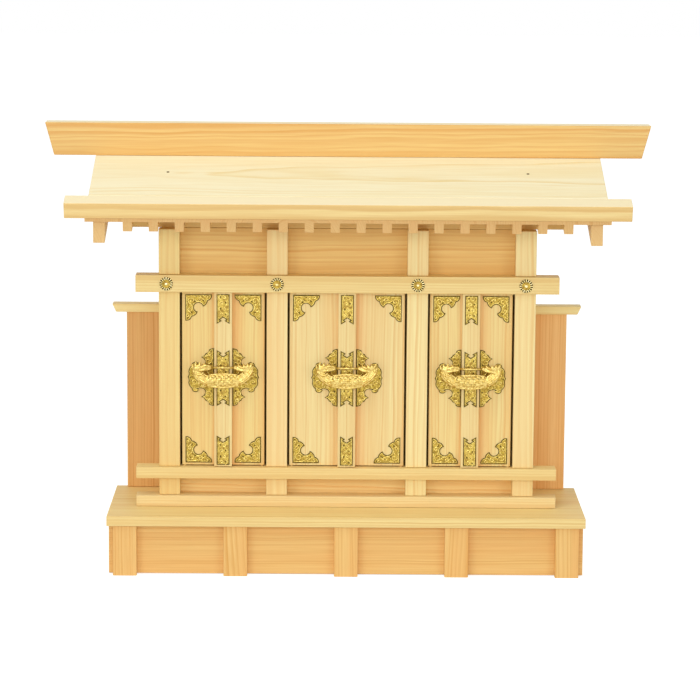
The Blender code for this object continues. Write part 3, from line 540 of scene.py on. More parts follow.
def corner_outline():
    """A corner plate of size 1, its corner at (0, 0)."""
    arm = [(1.0, 0.0)]
    arm += arc(arm[-1], (0.975, 0.15), (0.845, 0.242))
    arm += arc(arm[-1], (0.79, 0.37), (0.66, 0.466))
    bite = arc(arm[-1], (0.37, 0.37), (0.466, 0.66), 3 * ARC_STEPS)
    other_arm = [(b, a) for a, b in reversed(arm)][1:]
    return [(0.0, 0.0)] + arm + bite + other_arm


def medallion_outline(inner):
    """Half a medallion of reach 1 and half height 1, cut off at inner."""
    lobe = [(1.0, 0.0)]
    for middle, end in (((0.965, 0.09), (0.975, 0.18)), ((0.95, 0.30), (0.88, 0.40)),
                        ((0.83, 0.51), (0.745, 0.52)), ((0.70, 0.48), (0.71, 0.41)),
                        ((0.58, 0.40), (0.50, 0.52)), ((0.53, 0.61), (0.62, 0.69)),
                        ((0.54, 0.74), (0.50, 0.82)), ((0.43, 0.86), (0.40, 0.95)),
                        ((0.33, 0.985), (inner, 1.0))):
        lobe += arc(lobe[-1], middle, end)
    mirror = [(a, -b) for a, b in lobe[:0:-1]]
    return mirror + lobe


def scroll(middle, radius, start, turns):
    """A cloud scroll, wound from its outer end to its eye."""
    count = 4 + int(12 * abs(turns))
    points = []
    for k in range(count + 1):
        share = k / count
        angle = start + math.tau * turns * share
        reach = radius * (1 - share) ** 0.75
        points.append((middle[0] + reach * math.cos(angle), middle[1] + reach * math.sin(angle)))
    return points


def stem(start, middle, end):
    """A short bowed line between two scrolls."""
    return [start] + arc(start, middle, end, 6)


CORNER_SCROLLS = [
    scroll((0.23, 0.23), 0.15, 0.8, 1.5),
    scroll((0.56, 0.16), 0.10, 2.6, -1.4), scroll((0.16, 0.56), 0.10, -1.0, 1.4),
    scroll((0.80, 0.10), 0.07, 3.0, 1.2), scroll((0.10, 0.80), 0.07, -1.4, -1.2),
    stem((0.07, 0.10), (0.06, 0.30), (0.10, 0.46)), stem((0.10, 0.07), (0.30, 0.06), (0.46, 0.10)),
    stem((0.33, 0.15), (0.41, 0.235), (0.55, 0.27)), stem((0.15, 0.33), (0.235, 0.41), (0.27, 0.55)),
    stem((0.62, 0.10), (0.70, 0.20), (0.76, 0.24)), stem((0.10, 0.62), (0.20, 0.70), (0.24, 0.76)),
]
MEDALLION_SCROLLS = [
    scroll((0.82, 0.10), 0.11, 1.2, 1.3), scroll((0.82, -0.16), 0.10, -1.2, -1.3),
    scroll((0.58, 0.26), 0.12, 0.4, -1.4), scroll((0.58, -0.30), 0.12, -0.4, 1.4),
    scroll((0.42, 0.56), 0.11, 2.0, 1.4), scroll((0.42, -0.58), 0.11, -2.0, -1.4),
    scroll((0.37, 0.82), 0.07, 1.5, -1.2), scroll((0.37, -0.82), 0.07, -1.5, 1.2),
    stem((0.34, 0.06), (0.44, 0.20), (0.38, 0.36)), stem((0.34, -0.08), (0.44, -0.22), (0.38, -0.38)),
    stem((0.52, 0.66), (0.45, 0.74), (0.33, 0.72)), stem((0.52, -0.68), (0.45, -0.75), (0.33, -0.72)),
    stem((0.66, 0.46), (0.76, 0.40), (0.86, 0.30)), stem((0.66, -0.46), (0.76, -0.42), (0.86, -0.32)),
]
CORNER_PIERCINGS = [(0.36, 0.27), (0.27, 0.36), (0.42, 0.08), (0.08, 0.42), (0.68, 0.24), (0.24, 0.68),
                    (0.90, 0.06), (0.06, 0.90)]
MEDALLION_PIERCINGS = [(0.70, 0.0), (0.62, 0.10), (0.62, -0.12), (0.48, 0.42), (0.48, -0.44), (0.34, 0.46),
                       (0.34, -0.48), (0.34, 0.92), (0.34, -0.92), (0.92, -0.02)]


def inset(outline, distance):
    """The outline moved inwards by a distance, corner by corner."""
    count = len(outline)
    area = sum(outline[i][0] * outline[(i + 1) % count][1] - outline[(i + 1) % count][0] * outline[i][1]
               for i in range(count))
    turn = 1.0 if area > 0 else -1.0
    moved = []
    for i, (x, z) in enumerate(outline):
        before, after = outline[i - 1], outline[(i + 1) % count]
        first = Vector((x - before[0], z - before[1])).normalized()
        second = Vector((after[0] - x, after[1] - z)).normalized()
        normal = Vector((-(first.y + second.y), first.x + second.x)) * turn
        if normal.length < 1e-6:
            normal = Vector((-second.y, second.x)) * turn
        normal.normalize()
        lean = max(normal.dot(Vector((-second.y, second.x)) * turn), 0.55)
        moved.append((x + normal.x * distance / lean, z + normal.y * distance / lean))
    return moved


PLATE_SUNK = 0.0003
GROUND_LIFT = 0.0005
RIM_INSET = 0.00125
RIM_HALF_WIDTH = 0.00036
SCROLL_HALF_WIDTH = 0.00052
PIERCING_RADIUS = 0.00085
PIERCING_SIDES = 10


def inside(spot, outline):
    """Whether a spot lies inside an outline, by the edges to its right."""
    x, z = spot
    odd = False
    for (ax, az), (bx, bz) in zip(outline, outline[1:] + outline[:1]):
        if (az > z) != (bz > z) and x < ax + (bx - ax) * (z - az) / (bz - az):
            odd = not odd
    return odd


def stamp_plate(mesh, outline, piercings, front):
    """A plate with a dark edge, a bright ground and dark piercings, which are not cut but painted as flat
    dark spots of shade and patina; returns its rim's line.
    """
    rim = inset(outline, RIM_INSET)
    count = len(outline)
    loops = [rim]
    for x, z in piercings:
        loops.append([(x + PIERCING_RADIUS * math.cos(math.tau * k / PIERCING_SIDES),
                       z + PIERCING_RADIUS * math.sin(math.tau * k / PIERCING_SIDES))
                      for k in range(PIERCING_SIDES)])
    spots, edges = list(outline), []
    for loop in loops:
        start = len(spots)
        spots += loop
        edges += [(start + i, start + (i + 1) % len(loop)) for i in range(len(loop))]
    found, _, faces, sources, _, _ = delaunay_2d_cdt([Vector(spot) for spot in spots], edges,
                                                     [list(range(count))], 1, 1e-7)
    top = [mesh.verts.new((x, front - GROUND_LIFT, z)) for x, z in found]
    place = {source: k for k, from_these in enumerate(sources) for source in from_these}
    back = [mesh.verts.new((x, front + PLATE_SUNK, z)) for x, z in outline]
    for corners in faces:
        face = mesh.faces.new([top[k] for k in corners])
        middle = sum((found[k] for k in corners), Vector((0.0, 0.0))) / len(corners)
        # A piercing is not cut through: its faces take the dark brass, the painted shade and patina of a sunk
        # hole.
        pierced = any(math.hypot(middle.x - x, middle.y - z) < PIERCING_RADIUS for x, z in piercings)
        face.material_index = 1 if inside(middle, rim) and not pierced else 2
    for i in range(count):
        k = (i + 1) % count
        mesh.faces.new((back[i], back[k], top[place[k]], top[place[i]])).material_index = 2
    mesh.faces.new(back).material_index = 2
    return rim + rim[:1]


def modelling_tree(name, given, made):
    """A node tree for shapes, with the sockets it is given, and what they hold."""
    tree = bpy.data.node_groups.new(name, "GeometryNodeTree")
    for label, kind in given.items():
        tree.interface.new_socket(label, in_out="INPUT", socket_type="NodeSocket" + kind)
    tree.interface.new_socket(made, in_out="OUTPUT", socket_type="NodeSocketGeometry")
    return tree, node(tree, "NodeGroupInput").outputs


def raised_lines():
    """The node tree that turns drawn lines into round raised ribs, each as thick as its points say."""
    tree, given = modelling_tree("raised_scrolls", {"Lines": "Geometry", "Thickness": "Float",
                                                    "Finish": "Material"}, "Relief")
    curves = node(tree, "GeometryNodeMeshToCurve", {"Mesh": given["Lines"]})
    half = node(tree, "GeometryNodeInputNamedAttribute", {"Name": "half_width"}, data_type="FLOAT")
    wire = node(tree, "GeometryNodeCurvePrimitiveCircle", {"Resolution": 8, "Radius": given["Thickness"]})
    sweep = node(tree, "GeometryNodeCurveToMesh", {"Curve": curves, "Fill Caps": True,
                                                   "Profile Curve": wire, "Scale": half})
    smooth = node(tree, "GeometryNodeSetShadeSmooth", {"Geometry": sweep})
    real = node(tree, "GeometryNodeRealizeInstances", {"Geometry": smooth})
    dressed = node(tree, "GeometryNodeSetMaterial", {"Geometry": real, "Material": given["Finish"]})
    node(tree, "NodeGroupOutput", {"Relief": dressed})
    return tree


def grown(name, source, tree, values, body):
    """Runs a node tree on a source mesh and keeps the result as a plain piece."""
    holder = put(name + "_drawn", source)
    live = holder.modifiers.new("tree", "NODES")
    live.node_group = tree
    for item in tree.interface.items_tree:
        if item.in_out == "INPUT" and item.name in values:
            live[item.identifier] = values[item.name]
    shown = holder.evaluated_get(bpy.context.evaluated_depsgraph_get())
    data = bpy.data.meshes.new_from_object(shown)
    data.name = name
    holder.modifiers.clear()
    bpy.data.objects.remove(holder)
    piece = put(name, data)
    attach(piece, body)
    return piece


def drawn_lines(rims, scrolls, y):
    """Rims and scrolls as bare edges in one plane; a scroll thins out towards both its ends."""
    data = bpy.data.meshes.new("lines")
    points, edges, widths = [], [], []
    for line in rims:
        first, count = len(points), len(line) - 1
        points += [(x, y, z) for x, z in line[:-1]]
        edges += [(first + k, first + (k + 1) % count) for k in range(count)]
        widths += [RIM_HALF_WIDTH] * count
    for line in scrolls:
        first, count = len(points), len(line)
        points += [(x, y, z) for x, z in line]
        edges += [(first + k, first + k + 1) for k in range(count - 1)]
        widths += [SCROLL_HALF_WIDTH * (1 - 0.6 * (2 * k / (count - 1) - 1) ** 2) for k in range(count)]
    data.from_pydata(points, edges, [])
    held = data.attributes.new("half_width", "FLOAT", "POINT")
    held.data.foreach_set("value", widths)
    return data


scroll_tree = raised_lines()
for (bay, hand), (low_x, high_x) in leaf_span.items():
    sign = -1 if hand == "left" else 1
    middle = BAYS[bay][0]
    outer = low_x if sign < 0 else high_x
    plates = bmesh.new()
    rims, scrolls = [], []
    corner_x = outer - sign * CORNER_SIDE_INSET
    for end_z, way in ((LEAF_BOTTOM + CORNER_END_INSET, 1), (LEAF_TOP - CORNER_END_INSET, -1)):
        def on_corner(a, b, way=way, end_z=end_z):
            return (corner_x - sign * a * CORNER_SIZE, end_z + way * b * CORNER_SIZE)
        rims.append(stamp_plate(plates, [on_corner(a, b) for a, b in corner_outline()],
                                [on_corner(a, b) for a, b in CORNER_PIERCINGS], FRONT_Y))
        scrolls += [[on_corner(a, b) for a, b in line] for line in CORNER_SCROLLS]

    def on_medallion(a, b):
        return (middle + sign * a * MEDALLION_REACH, MEDALLION_Z + b * MEDALLION_HEIGHT / 2)
    inner = (STRIP_WIDTH / 2 + MEDALLION_GAP) / MEDALLION_REACH
    rims.append(stamp_plate(plates, [on_medallion(a, b) for a, b in medallion_outline(inner)],
                            [on_medallion(a, b) for a, b in MEDALLION_PIERCINGS], FRONT_Y))
    scrolls += [[on_medallion(a, b) for a, b in line] for line in MEDALLION_SCROLLS]
    brass = add_piece(f"brass_plates_{bay}_{hand}", plates, [gilding, ground_gilding, darkened_brass_and_hole_shade],
                      f"leaf_{bay}_{hand}")
    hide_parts(f"door_{bay}_{hand}")
    relief = grown(f"brass_scrolls_{bay}_{hand}", drawn_lines(rims, scrolls, FRONT_Y - GROUND_LIFT),
                   scroll_tree, {"Thickness": 1.0, "Finish": gilding}, f"leaf_{bay}_{hand}")
    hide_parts(f"door_{bay}_{hand}")


# THE MEETING STRIPS
# A narrow pale strip on the right leaf covers the gap between the two. Three notched plates are
# nailed on it, at the top, behind the lock and at the bottom.

STRIP_FRONT = -0.029
STRIP_BACK = -0.0233
STRIP_FOOT = 0.1025
STRIP_HEAD = 0.2810
STRIP_EDGE = 0.0005
STRIP_PLATE_HALF = 0.0065
STRIP_LOGS = {"left": ((0.03, 0.05), 0.0034), "centre": ((0.03, -0.06), 0.0038),
              "right": ((0.03, 0.06), 0.0032)}
STRIP_WOOD = ("#F2DD9C", "#DEB46E", "#E9C480")
PLATES_ON_STRIP = [
    # lower end, upper end, lower notch, upper notch: above the leaf's foot
    (0.0013, 0.0313, 0.0, -0.0065),
    (0.0620, 0.1192, 0.0065, -0.0065),
    (0.1462, 0.1762, 0.0065, 0.0),
]
NOTCH_LEG = [(1.0, 0.0), (0.22, 0.45), (0.49, 0.67)]
# One scroll and one piercing follow each other at this step, on alternate sides of the middle
STRIP_MOTIF = 0.0062
STRIP_SCROLL_SIDE = 0.0013
STRIP_SCROLL_RADIUS = 0.0023
STRIP_PIERCING_SIDE = 0.0026
STRIP_STEM = stem((-0.0020, -0.0030), (-0.0040, 0.0), (-0.0022, 0.0028))


def notched_outline(middle, low, high, low_notch, high_notch):
    """A long plate whose free ends have a spade-shaped cut between two legs."""
    half = STRIP_PLATE_HALF

    def end_of_plate(end, notch, way):
        near = [(way * half * a, end + notch * b) for a, b in (NOTCH_LEG if notch else NOTCH_LEG[:1])]
        eye = [(0.0, end + notch)] if notch else []
        return [(middle + a, b) for a, b in near + eye + [(-a, b) for a, b in reversed(near)]]

    return end_of_plate(low, low_notch, -1) + end_of_plate(high, high_notch, 1)


for bay, (middle, _) in BAYS.items():
    mesh = bevelled_board((middle - STRIP_WIDTH / 2, STRIP_FRONT, STRIP_FOOT),
                          (middle + STRIP_WIDTH / 2, STRIP_BACK, STRIP_HEAD), STRIP_EDGE)
    heart, ring = STRIP_LOGS[bay]
    board = planed_hinoki(f"planed_hinoki_strip_{bay}", (middle, STRIP_FRONT, (LEAF_BOTTOM + LEAF_TOP) / 2),
                          "Z", STRIP_WOOD, heart, ring)
    strip = add_piece(f"strip_board_{bay}", mesh, [board], f"leaf_{bay}_right")
    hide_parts(f"meeting_strip_{bay}")
    plates = bmesh.new()
    rims, scrolls = [], []
    for low, high, low_notch, high_notch in PLATES_ON_STRIP:
        clear_low, clear_high = LEAF_BOTTOM + low + low_notch, LEAF_BOTTOM + high + high_notch
        steps = max(2, round((clear_high - clear_low) / STRIP_MOTIF))
        holes = []
        for k in range(steps):
            z = clear_low + (clear_high - clear_low) * (k + 0.5) / steps
            way = 1 if k % 2 else -1
            scrolls.append(scroll((middle + way * STRIP_SCROLL_SIDE, z), STRIP_SCROLL_RADIUS,
                                  1.6 * way, 1.4 * way))
            scrolls.append([(middle + way * a, z + b) for a, b in STRIP_STEM])
            holes.append((middle - way * STRIP_PIERCING_SIDE, z + 0.0001))
        outline = notched_outline(middle, LEAF_BOTTOM + low, LEAF_BOTTOM + high, low_notch, high_notch)
        rims.append(stamp_plate(plates, outline, holes, STRIP_FRONT))
    brass = add_piece(f"strip_plates_{bay}", plates, [gilding, bright_ground, darkened_brass_and_hole_shade],
                      f"leaf_{bay}_right")
    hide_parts(f"meeting_strip_{bay}")
    relief = grown(f"strip_scrolls_{bay}", drawn_lines(rims, scrolls, STRIP_FRONT - GROUND_LIFT), scroll_tree,
                   {"Thickness": 1.0, "Finish": gilding}, f"leaf_{bay}_right")
    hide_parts(f"meeting_strip_{bay}")


# THE FISH LOCKS
# Each pair of leaves is held by a padlock cast as a fish: its scaled belly hangs in a bow, and
# its head and tail rise and hold a straight bar between them. It is cast brass, gilded, and its
# fins and crest were left standing proud.

LOCK_Y = -0.0346
LOCK_Z = 0.1921
MM = 0.001
# Along the fish, in mm: across, height, half thickness upwards, half thickness outwards
FISH_LINE = [(-28.0, 12.0, 3.4, 2.6), (-26.2, 8.6, 4.8, 3.3), (-22.6, 4.4, 5.8, 3.9), (-16, 0.2, 6.0, 4.2),
             (-8, -0.6, 6.5, 4.4), (0, -0.7, 6.8, 4.4), (8, -0.5, 6.4, 4.4), (16, 0.6, 5.8, 4.2),
             (22.4, 4.8, 5.4, 3.8), (26.2, 9.2, 4.4, 3.2), (28.0, 12.4, 3.2, 2.6)]
# Fins, gill covers, crest and jaws, in mm: points of across, height, outwards, then the half
# thickness at the root and at the tip
FISH_RIDGES = [
    ([(-14.5, 5.9, 1.5), (0, 6.9, 1.2), (14.5, 6.1, 1.5)], 0.8, 0.8),
    ([(-15.5, -5.0, 2.0), (-7, -6.3, 2.2), (0, -6.7, 2.2), (7, -6.2, 2.2), (15.5, -4.6, 2.0)], 1.2, 1.1),
    ([(-14.4, 5.9, 2.4), (-15.8, 1.0, 4.3), (-14.8, -4.4, 2.6)], 0.8, 0.7),
    ([(14.4, 6.2, 2.4), (15.6, 1.2, 4.2), (14.8, -4.0, 2.6)], 0.8, 0.7),
    ([(-18.0, -3.6, 1.5), (-20.0, -5.6, 1.6), (-18.6, -8.0, 1.2)], 1.5, 0.5),
    ([(-22.0, -0.6, 1.2), (-24.4, -2.6, 1.2), (-23.6, -5.2, 0.8)], 1.4, 0.5),
    ([(20.5, -1.8, 1.2), (23.2, -3.2, 1.2), (26.0, -2.2, 0.6)], 1.3, 0.4),
    ([(-27.0, 11.0, 0.5), (-30.0, 13.2, 0.6), (-31.2, 16.8, 0.2)], 2.2, 0.6),
    ([(-26.5, 14.0, 1.5), (-27.8, 17.0, 1.8), (-26.4, 19.8, 1.0)], 1.9, 0.5),
    ([(-23.0, 15.4, 1.8), (-23.6, 17.6, 2.0), (-21.8, 18.6, 1.4)], 1.7, 0.6),
    ([(-19.6, 15.6, 2.0), (-19.6, 17.2, 2.2), (-17.6, 17.6, 1.6)], 1.4, 0.6),
    ([(-24.5, 13.6, 3.0), (-19.0, 15.6, 3.6), (-14.6, 15.4, 3.0), (-11.6, 13.6, 2.4)], 1.5, 1.1),
    ([(-24.0, 10.6, 3.0), (-19.5, 11.4, 3.6), (-15.2, 11.8, 2.8), (-12.6, 12.4, 2.2)], 1.3, 0.8),
    ([(-28.0, 9.0, 3.0), (-25.2, 6.6, 4.2), (-21.4, 7.0, 4.4), (-19.4, 9.2, 3.8)], 0.9, 0.6),
    ([(24.0, 10.4, 2.2), (19.6, 10.8, 3.0), (15.0, 11.6, 2.6), (12.0, 13.4, 2.2)], 1.5, 0.9),
    ([(24.5, 13.0, 2.2), (19.6, 13.8, 3.2), (16.0, 15.4, 2.6), (15.2, 17.4, 1.6)], 1.6, 0.7),
    ([(24.5, 14.0, 2.2), (21.4, 15.6, 2.8), (20.4, 17.6, 1.8)], 1.6, 0.7),
    ([(26.0, 14.0, 2.0), (25.0, 16.4, 2.4), (25.4, 18.4, 1.4)], 1.6, 0.6),
    ([(26.6, 13.4, 1.4), (28.4, 16.0, 1.6), (29.8, 19.0, 0.8)], 1.8, 0.5),
    ([(27.0, 11.0, 1.0), (29.6, 12.4, 1.0), (30.2, 15.0, 0.4)], 1.9, 0.6),
]
FLUTE_OFFSETS = [-4.4, -2.6, -0.8, 1.0, 2.8, 4.4]
BAR_HEIGHT = 13.0
BAR_HALF_LENGTH = 14.0
BAR_RADIUS = 1.1
# Between these distances from its middle the fish bends up and is fluted
ARM_START, ARM_END = 15.5, 28.0
# Swellings of head, eye, tail and the bar's two seats, in mm: across, height, outwards, then the
# half size in each
FISH_LUMPS = [((-25.0, 12.6, 0.8), (5.4, 4.4, 3.5)), ((-18.0, 13.6, 1.0), (6.0, 2.7, 3.0)),
              ((-20.6, 13.6, 4.0), (1.6, 1.5, 1.2)), ((-12.6, 13.2, 0.6), (2.4, 2.5, 2.4)),
              ((12.6, 13.2, 0.6), (2.4, 2.4, 2.4)), ((18.0, 13.4, 0.6), (6.0, 2.6, 2.6)),
              ((25.0, 12.4, 0.4), (5.2, 4.2, 3.0))]
# How finely the casting is run together, in mm
CASTING_GRAIN = 0.42


def smooth_line(points, steps):
    """A smooth curve through points of any size, with a number of steps between each two."""
    rows = []
    count = len(points)
    for i in range(count - 1):
        a, b, c, d = points[max(i - 1, 0)], points[i], points[i + 1], points[min(i + 2, count - 1)]
        for k in range(steps + (i == count - 2)):
            t = k / steps
            rows.append([0.5 * (2 * q + (r - p) * t + (2 * p - 5 * q + 4 * r - s) * t * t
                                + (3 * q - p - 3 * r + s) * t ** 3) for p, q, r, s in zip(a, b, c, d)])
    return rows


def skinned(mesh, rings):
    """Closes a row of rings of points into one body."""
    for near, far in zip(rings, rings[1:]):
        for k in range(len(near)):
            j = (k + 1) % len(near)
            mesh.faces.new((near[k], near[j], far[j], far[k]))
    mesh.faces.new(rings[0])
    mesh.faces.new(rings[-1])


def heading(line, i):
    """Which way a line runs at one of its points."""
    before, after = line[max(i - 1, 0)], line[min(i + 1, len(line) - 1)]
    return Vector((after[0] - before[0], after[1] - before[1])).normalized()


def swept(mesh, centres, tall, deep, sides):
    """A closed body of ovals round a line that runs in the plane of the door, all in mm."""
    rings = []
    for i, (x, z, out) in enumerate(centres):
        along = heading(centres, i)
        ring = []
        for k in range(sides):
            angle = math.tau * k / sides
            up, front = tall[i] * math.cos(angle), deep[i] * math.sin(angle)
            ring.append(mesh.verts.new((x - along.y * up, -(out + front), z + along.x * up)))
        rings.append(ring)
    skinned(mesh, rings)


def lump(mesh, middle, radii):
    """A rounded swelling of the casting, in mm."""
    made = bmesh.ops.create_icosphere(mesh, subdivisions=3, radius=1.0)
    for vertex in made["verts"]:
        vertex.co = Vector((middle[0] + vertex.co.x * radii[0], -middle[2] + vertex.co.y * radii[2],
                            middle[1] + vertex.co.z * radii[1]))


def cast_fish():
    """The fish with its fins, run together as one casting and softened by the mould."""
    mesh = bmesh.new()
    spine = smooth_line(FISH_LINE, 5)
    swept(mesh, [(x, z, 0.0) for x, z, _, _ in spine], [row[2] for row in spine],
          [row[3] for row in spine], 28)
    for points, root, tip in FISH_RIDGES:
        rows = smooth_line(points, 8)
        thick = [root + (tip - root) * i / (len(rows) - 1) for i in range(len(rows))]
        swept(mesh, rows, thick, thick, 12)
    for way in (-1, 1):
        arm = [row for row in spine if ARM_START < way * row[0] < ARM_END]
        if way < 0:
            arm.reverse()
        for offset in FLUTE_OFFSETS:
            flute = []
            for i, (x, z, tall, deep) in enumerate(arm):
                along = heading(arm, i) * way
                share = offset / tall
                if abs(share) < 0.93:
                    out = deep * math.sqrt(1 - share * share)
                    flute.append((x - along.y * offset, z + along.x * offset, out))
            thick = [0.75 - 0.3 * i / len(flute) for i in range(len(flute))]
            swept(mesh, flute, thick, thick, 10)
    for middle, radii in FISH_LUMPS:
        lump(mesh, middle, radii)
    data = bpy.data.meshes.new("casting")
    mesh.to_mesh(data)
    mesh.free()
    data.transform(Matrix.Scale(MM, 4))
    pattern = put("casting", data)
    run = pattern.modifiers.new("run_together", "REMESH")
    run.mode = "VOXEL"
    run.voxel_size = CASTING_GRAIN * MM
    soften = pattern.modifiers.new("soften", "SMOOTH")
    soften.factor = 0.5
    soften.iterations = 2
    shown = pattern.evaluated_get(bpy.context.evaluated_depsgraph_get())
    cast = bpy.data.meshes.new_from_object(shown)
    bpy.data.objects.remove(pattern)
    return cast


def overlapping_scales():
    """The node tree that lays a flattened scale on each point, tipped back along the fish."""
    tree, given = modelling_tree("overlapping_scales", {"Places": "Geometry", "Half size": "Vector",
                                                        "Tip": "Vector", "Finish": "Material"}, "Scales")
    drop = node(tree, "GeometryNodeMeshIcoSphere", {"Radius": 1.0, "Subdivisions": 3})
    flat = node(tree, "GeometryNodeTransform", {"Geometry": drop, "Rotation": given["Tip"],
                                                "Scale": given["Half size"]})
    points = node(tree, "GeometryNodeMeshToPoints", {"Mesh": given["Places"]})
    facing = node(tree, "GeometryNodeInputNamedAttribute", {"Name": "facing"}, data_type="FLOAT_VECTOR")
    turned = node(tree, "FunctionNodeAlignRotationToVector", {"Vector": facing}, axis="Z")
    laid = node(tree, "GeometryNodeInstanceOnPoints", {"Points": points, "Instance": flat,
                                                       "Rotation": turned})
    real = node(tree, "GeometryNodeRealizeInstances", {"Geometry": laid})
    smooth = node(tree, "GeometryNodeSetShadeSmooth", {"Geometry": real})
    dressed = node(tree, "GeometryNodeSetMaterial", {"Geometry": smooth, "Material": given["Finish"]})
    node(tree, "NodeGroupOutput", {"Scales": dressed})
    return tree


SCALE_COLUMN = 4.6
SCALE_ROW = 2.35
SCALE_HALF_SIZE = (2.25 * MM, 1.45 * MM, 0.55 * MM)
SCALE_TIP = (0.0, 0.16, 0.0)
# The scaled belly, in mm: how far it reaches to each side, how tall it is and how far it stands
# out; then how low its middle hangs, and how it rises and narrows with the square of the way out
BELLY_REACH, BELLY_TALL, BELLY_OUT = 14.2, 6.7, 4.35
BELLY_LOW, BELLY_RISE, BELLY_TAPER = -0.6, 0.0085, 0.006
cast_gilding = gilt_brass("gilt_brass_cast", "#DCC478", "#B8984A", "#6A5018", 0.27)
casting = cast_fish()
scale_tree = overlapping_scales()
for bay, (middle, _) in BAYS.items():
    data = casting.copy()
    data.transform(Matrix.Translation((middle, LOCK_Y, LOCK_Z)))
    data.materials.clear()
    data.materials.append(cast_gilding)
    data.polygons.foreach_set("use_smooth", [True] * len(data.polygons))
    fish = put(f"fish_{bay}", data)
    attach(fish, f"leaf_{bay}_right")
    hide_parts(f"fish_lock_{bay}")

    places, facings = [], []
    for row in range(-2, 3):
        for column in range(-3, 4):
            x = (column + (0.5 if row % 2 else 0.0)) * SCALE_COLUMN
            height = row * SCALE_ROW
            if abs(x) > BELLY_REACH - 0.6 * abs(row):
                continue
            bow = BELLY_LOW + BELLY_RISE * x * x
            tall = BELLY_TALL - BELLY_TAPER * x * x
            share = min(abs(height) / tall, 0.92)
            out = BELLY_OUT * math.sqrt(1 - share * share)
            places.append((middle + x * MM, LOCK_Y - out * MM, LOCK_Z + (bow + height) * MM))
            facings.append(Vector((0.0, -out / BELLY_OUT ** 2, height / tall ** 2)).normalized())
    spots = bpy.data.meshes.new("scale_places")
    spots.from_pydata(places, [], [])
    held = spots.attributes.new("facing", "FLOAT_VECTOR", "POINT")
    held.data.foreach_set("vector", [value for facing in facings for value in facing])
    scales = grown(f"fish_scales_{bay}", spots, scale_tree,
                   {"Half size": SCALE_HALF_SIZE, "Tip": SCALE_TIP, "Finish": cast_gilding},
                   f"leaf_{bay}_right")
    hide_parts(f"fish_lock_{bay}")

    mesh = bmesh.new()
    laid_flat = Matrix.Rotation(math.pi / 2, 4, "Y")
    bmesh.ops.create_cone(mesh, cap_ends=True, segments=28, radius1=BAR_RADIUS * MM,
                          radius2=BAR_RADIUS * MM, depth=2 * BAR_HALF_LENGTH * MM,
                          matrix=Matrix.Translation((middle, LOCK_Y, LOCK_Z + BAR_HEIGHT * MM)) @ laid_flat)
    for face in mesh.faces:
        face.smooth = len(face.verts) == 4
    bar = add_piece(f"lock_bar_{bay}", mesh, [cast_gilding], f"leaf_{bay}_right")
    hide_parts(f"fish_lock_{bay}")


# THE ROSETTES
# A gilt chrysanthemum covers each nail through the upper rail: sixteen round petals that stand
# out over a dark disc, a dull bowl and a domed heart. The disc is dark with patina and with painted
# shade between the petals, the bowl is painted duller as painted shade, and the heart is partly a painted
# highlight. It is pressed from one disc of brass.

RAIL_FRONT_Y = -0.0333
ROSETTE_PETALS = 16
# The turned middle of a rosette, in mm: radius and height, from its edge to its tip
ROSETTE_PROFILE = [(6.6, 0.0), (6.6, 0.25), (4.3, 0.4), (3.9, 1.05), (3.6, 1.15), (3.2, 0.8), (2.6, 0.55),
                   (2.1, 0.5), (1.8, 1.1), (1.3, 1.8), (0.7, 2.1)]
BOWL_EDGE = 4.1
HEART_EDGE = 2.0
PETAL_LIFT = 0.55
PETAL_REACH = 5.4
PETAL_HALF_SIZE = (1.8 * MM, 0.5 * MM, 0.53 * MM)


def ring_of_petals():
    """The node tree that sets long drops of brass round a turned middle."""
    tree, given = modelling_tree("ring_of_petals", {"Middle": "Geometry", "Petals": "Int", "Reach": "Float",
                                                    "Petal": "Vector", "Finish": "Material"}, "Flower")
    number = node(tree, "GeometryNodeInputIndex")
    angle = maths(tree, "MULTIPLY", maths(tree, "DIVIDE", number, given["Petals"]), math.tau)
    direction = node(tree, "ShaderNodeCombineXYZ", {"X": maths(tree, "COSINE", angle),
                                                    "Z": maths(tree, "SINE", angle)})
    reached = node(tree, "ShaderNodeVectorMath", {0: direction, "Scale": given["Reach"]}, operation="SCALE")
    spot = vector_maths(tree, "ADD", reached, (0.0, -PETAL_LIFT * MM, 0.0))
    points = node(tree, "GeometryNodePoints", {"Count": given["Petals"], "Position": spot})
    turn = node(tree, "ShaderNodeCombineXYZ", {"Y": maths(tree, "MULTIPLY", angle, -1.0)})
    drop = node(tree, "GeometryNodeMeshIcoSphere", {"Radius": 1.0, "Subdivisions": 3})
    petal = node(tree, "GeometryNodeTransform", {"Geometry": drop, "Scale": given["Petal"]})
    gilded = node(tree, "GeometryNodeSetMaterial", {"Geometry": petal, "Material": given["Finish"]})
    set_out = node(tree, "GeometryNodeInstanceOnPoints", {"Points": points, "Instance": gilded,
                                                          "Rotation": turn})
    whole = node(tree, "GeometryNodeJoinGeometry")
    tree.links.new(set_out.outputs[0], whole.inputs[0])
    tree.links.new(given["Middle"], whole.inputs[0])
    real = node(tree, "GeometryNodeRealizeInstances", {"Geometry": whole})
    smooth = node(tree, "GeometryNodeSetShadeSmooth", {"Geometry": real})
    node(tree, "NodeGroupOutput", {"Flower": smooth})
    return tree


def turned_disc(profile, sides):
    """A turned shape round the y axis, facing the front, closed at its back and its tip."""
    mesh = bmesh.new()
    rings = []
    for radius, height in profile:
        rings.append([mesh.verts.new((radius * MM * math.cos(math.tau * k / sides), -height * MM,
                                      radius * MM * math.sin(math.tau * k / sides))) for k in range(sides)])
    skinned(mesh, rings)
    bmesh.ops.recalc_face_normals(mesh, faces=mesh.faces)
    data = bpy.data.meshes.new("turned_disc")
    mesh.to_mesh(data)
    mesh.free()
    return data


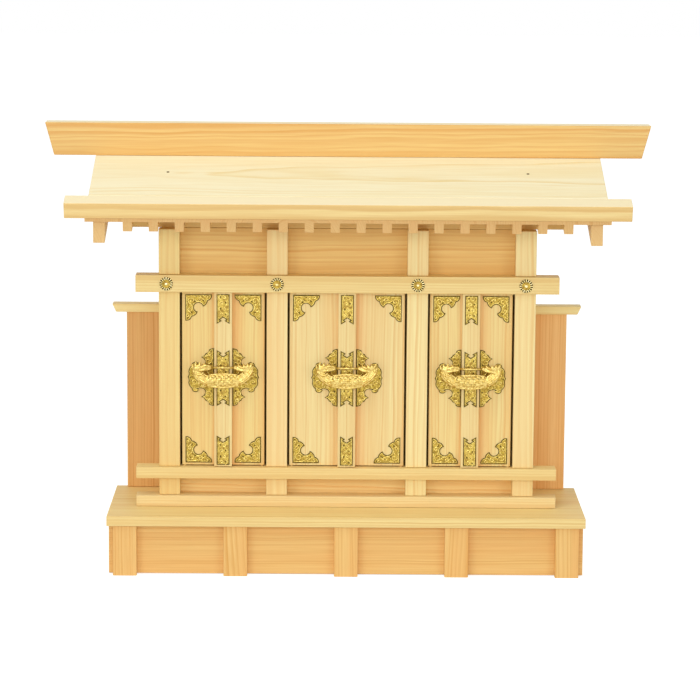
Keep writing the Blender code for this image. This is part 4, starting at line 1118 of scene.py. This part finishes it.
pressed_gilding = gilt_brass("gilt_brass_pressed", "#FBEEB8", "#E0CB7C", "#5A4814", 0.22)
blackened_and_gap_shade = gilt_brass("gilt_brass_blackened_and_gap_shade", "#5A4208", "#382606", "#221802", 0.42)
petal_tree = ring_of_petals()
for i in range(4):
    low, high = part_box(f"rosette_{i + 1}")
    middle = turned_disc(ROSETTE_PROFILE, 48)
    for finish in (blackened_and_gap_shade, ground_gilding, pressed_gilding):
        middle.materials.append(finish)
    # By radius: the outer disc takes the blackened brass, patina and painted shade between the petals; the
    # bowl takes the duller ground gilding as painted shade; the heart takes the palest pressed gilt, partly
    # as a painted highlight.
    for face in middle.polygons:
        radius = math.hypot(face.center.x, face.center.z) / MM
        face.material_index = (radius < BOWL_EDGE) + (radius < HEART_EDGE)
    flower = grown(f"rosette_flower_{i + 1}", middle, petal_tree,
                   {"Petals": ROSETTE_PETALS, "Reach": PETAL_REACH * MM, "Petal": PETAL_HALF_SIZE,
                    "Finish": pressed_gilding}, "shrine")
    flower.data.transform(Matrix.Translation(((low.x + high.x) / 2, RAIL_FRONT_Y, (low.z + high.z) / 2)))
    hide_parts(f"rosette_{i + 1}")


# THE ROOF NAILS
# Two small nails hold the front roof board. They are driven nearly flush, so only their low dull
# heads show.

ROOF_NORMAL = Vector((0.0, -0.29737, 0.95476))
ROOF_NAILS = {"roof_nail_left": (-0.1813, -0.0081, 0.4000), "roof_nail_right": (0.1810, -0.0072, 0.4003)}
# A nail's head, in mm: radius and height, from below its rim to its top
NAIL_PROFILE = [(1.5, -0.3), (1.5, 0.12), (1.1, 0.22), (0.5, 0.26)]
for name, place in ROOF_NAILS.items():
    mesh = bmesh.new()
    mesh.from_mesh(turned_disc(NAIL_PROFILE, 24))
    for face in mesh.faces:
        face.smooth = True
    stand = (-Vector((0, 1, 0))).rotation_difference(ROOF_NORMAL).to_matrix().to_4x4()
    bmesh.ops.transform(mesh, matrix=Matrix.Translation(place) @ stand, verts=mesh.verts)
    nail = add_piece(name, mesh, [darkened_brass_and_hole_shade], "shrine")
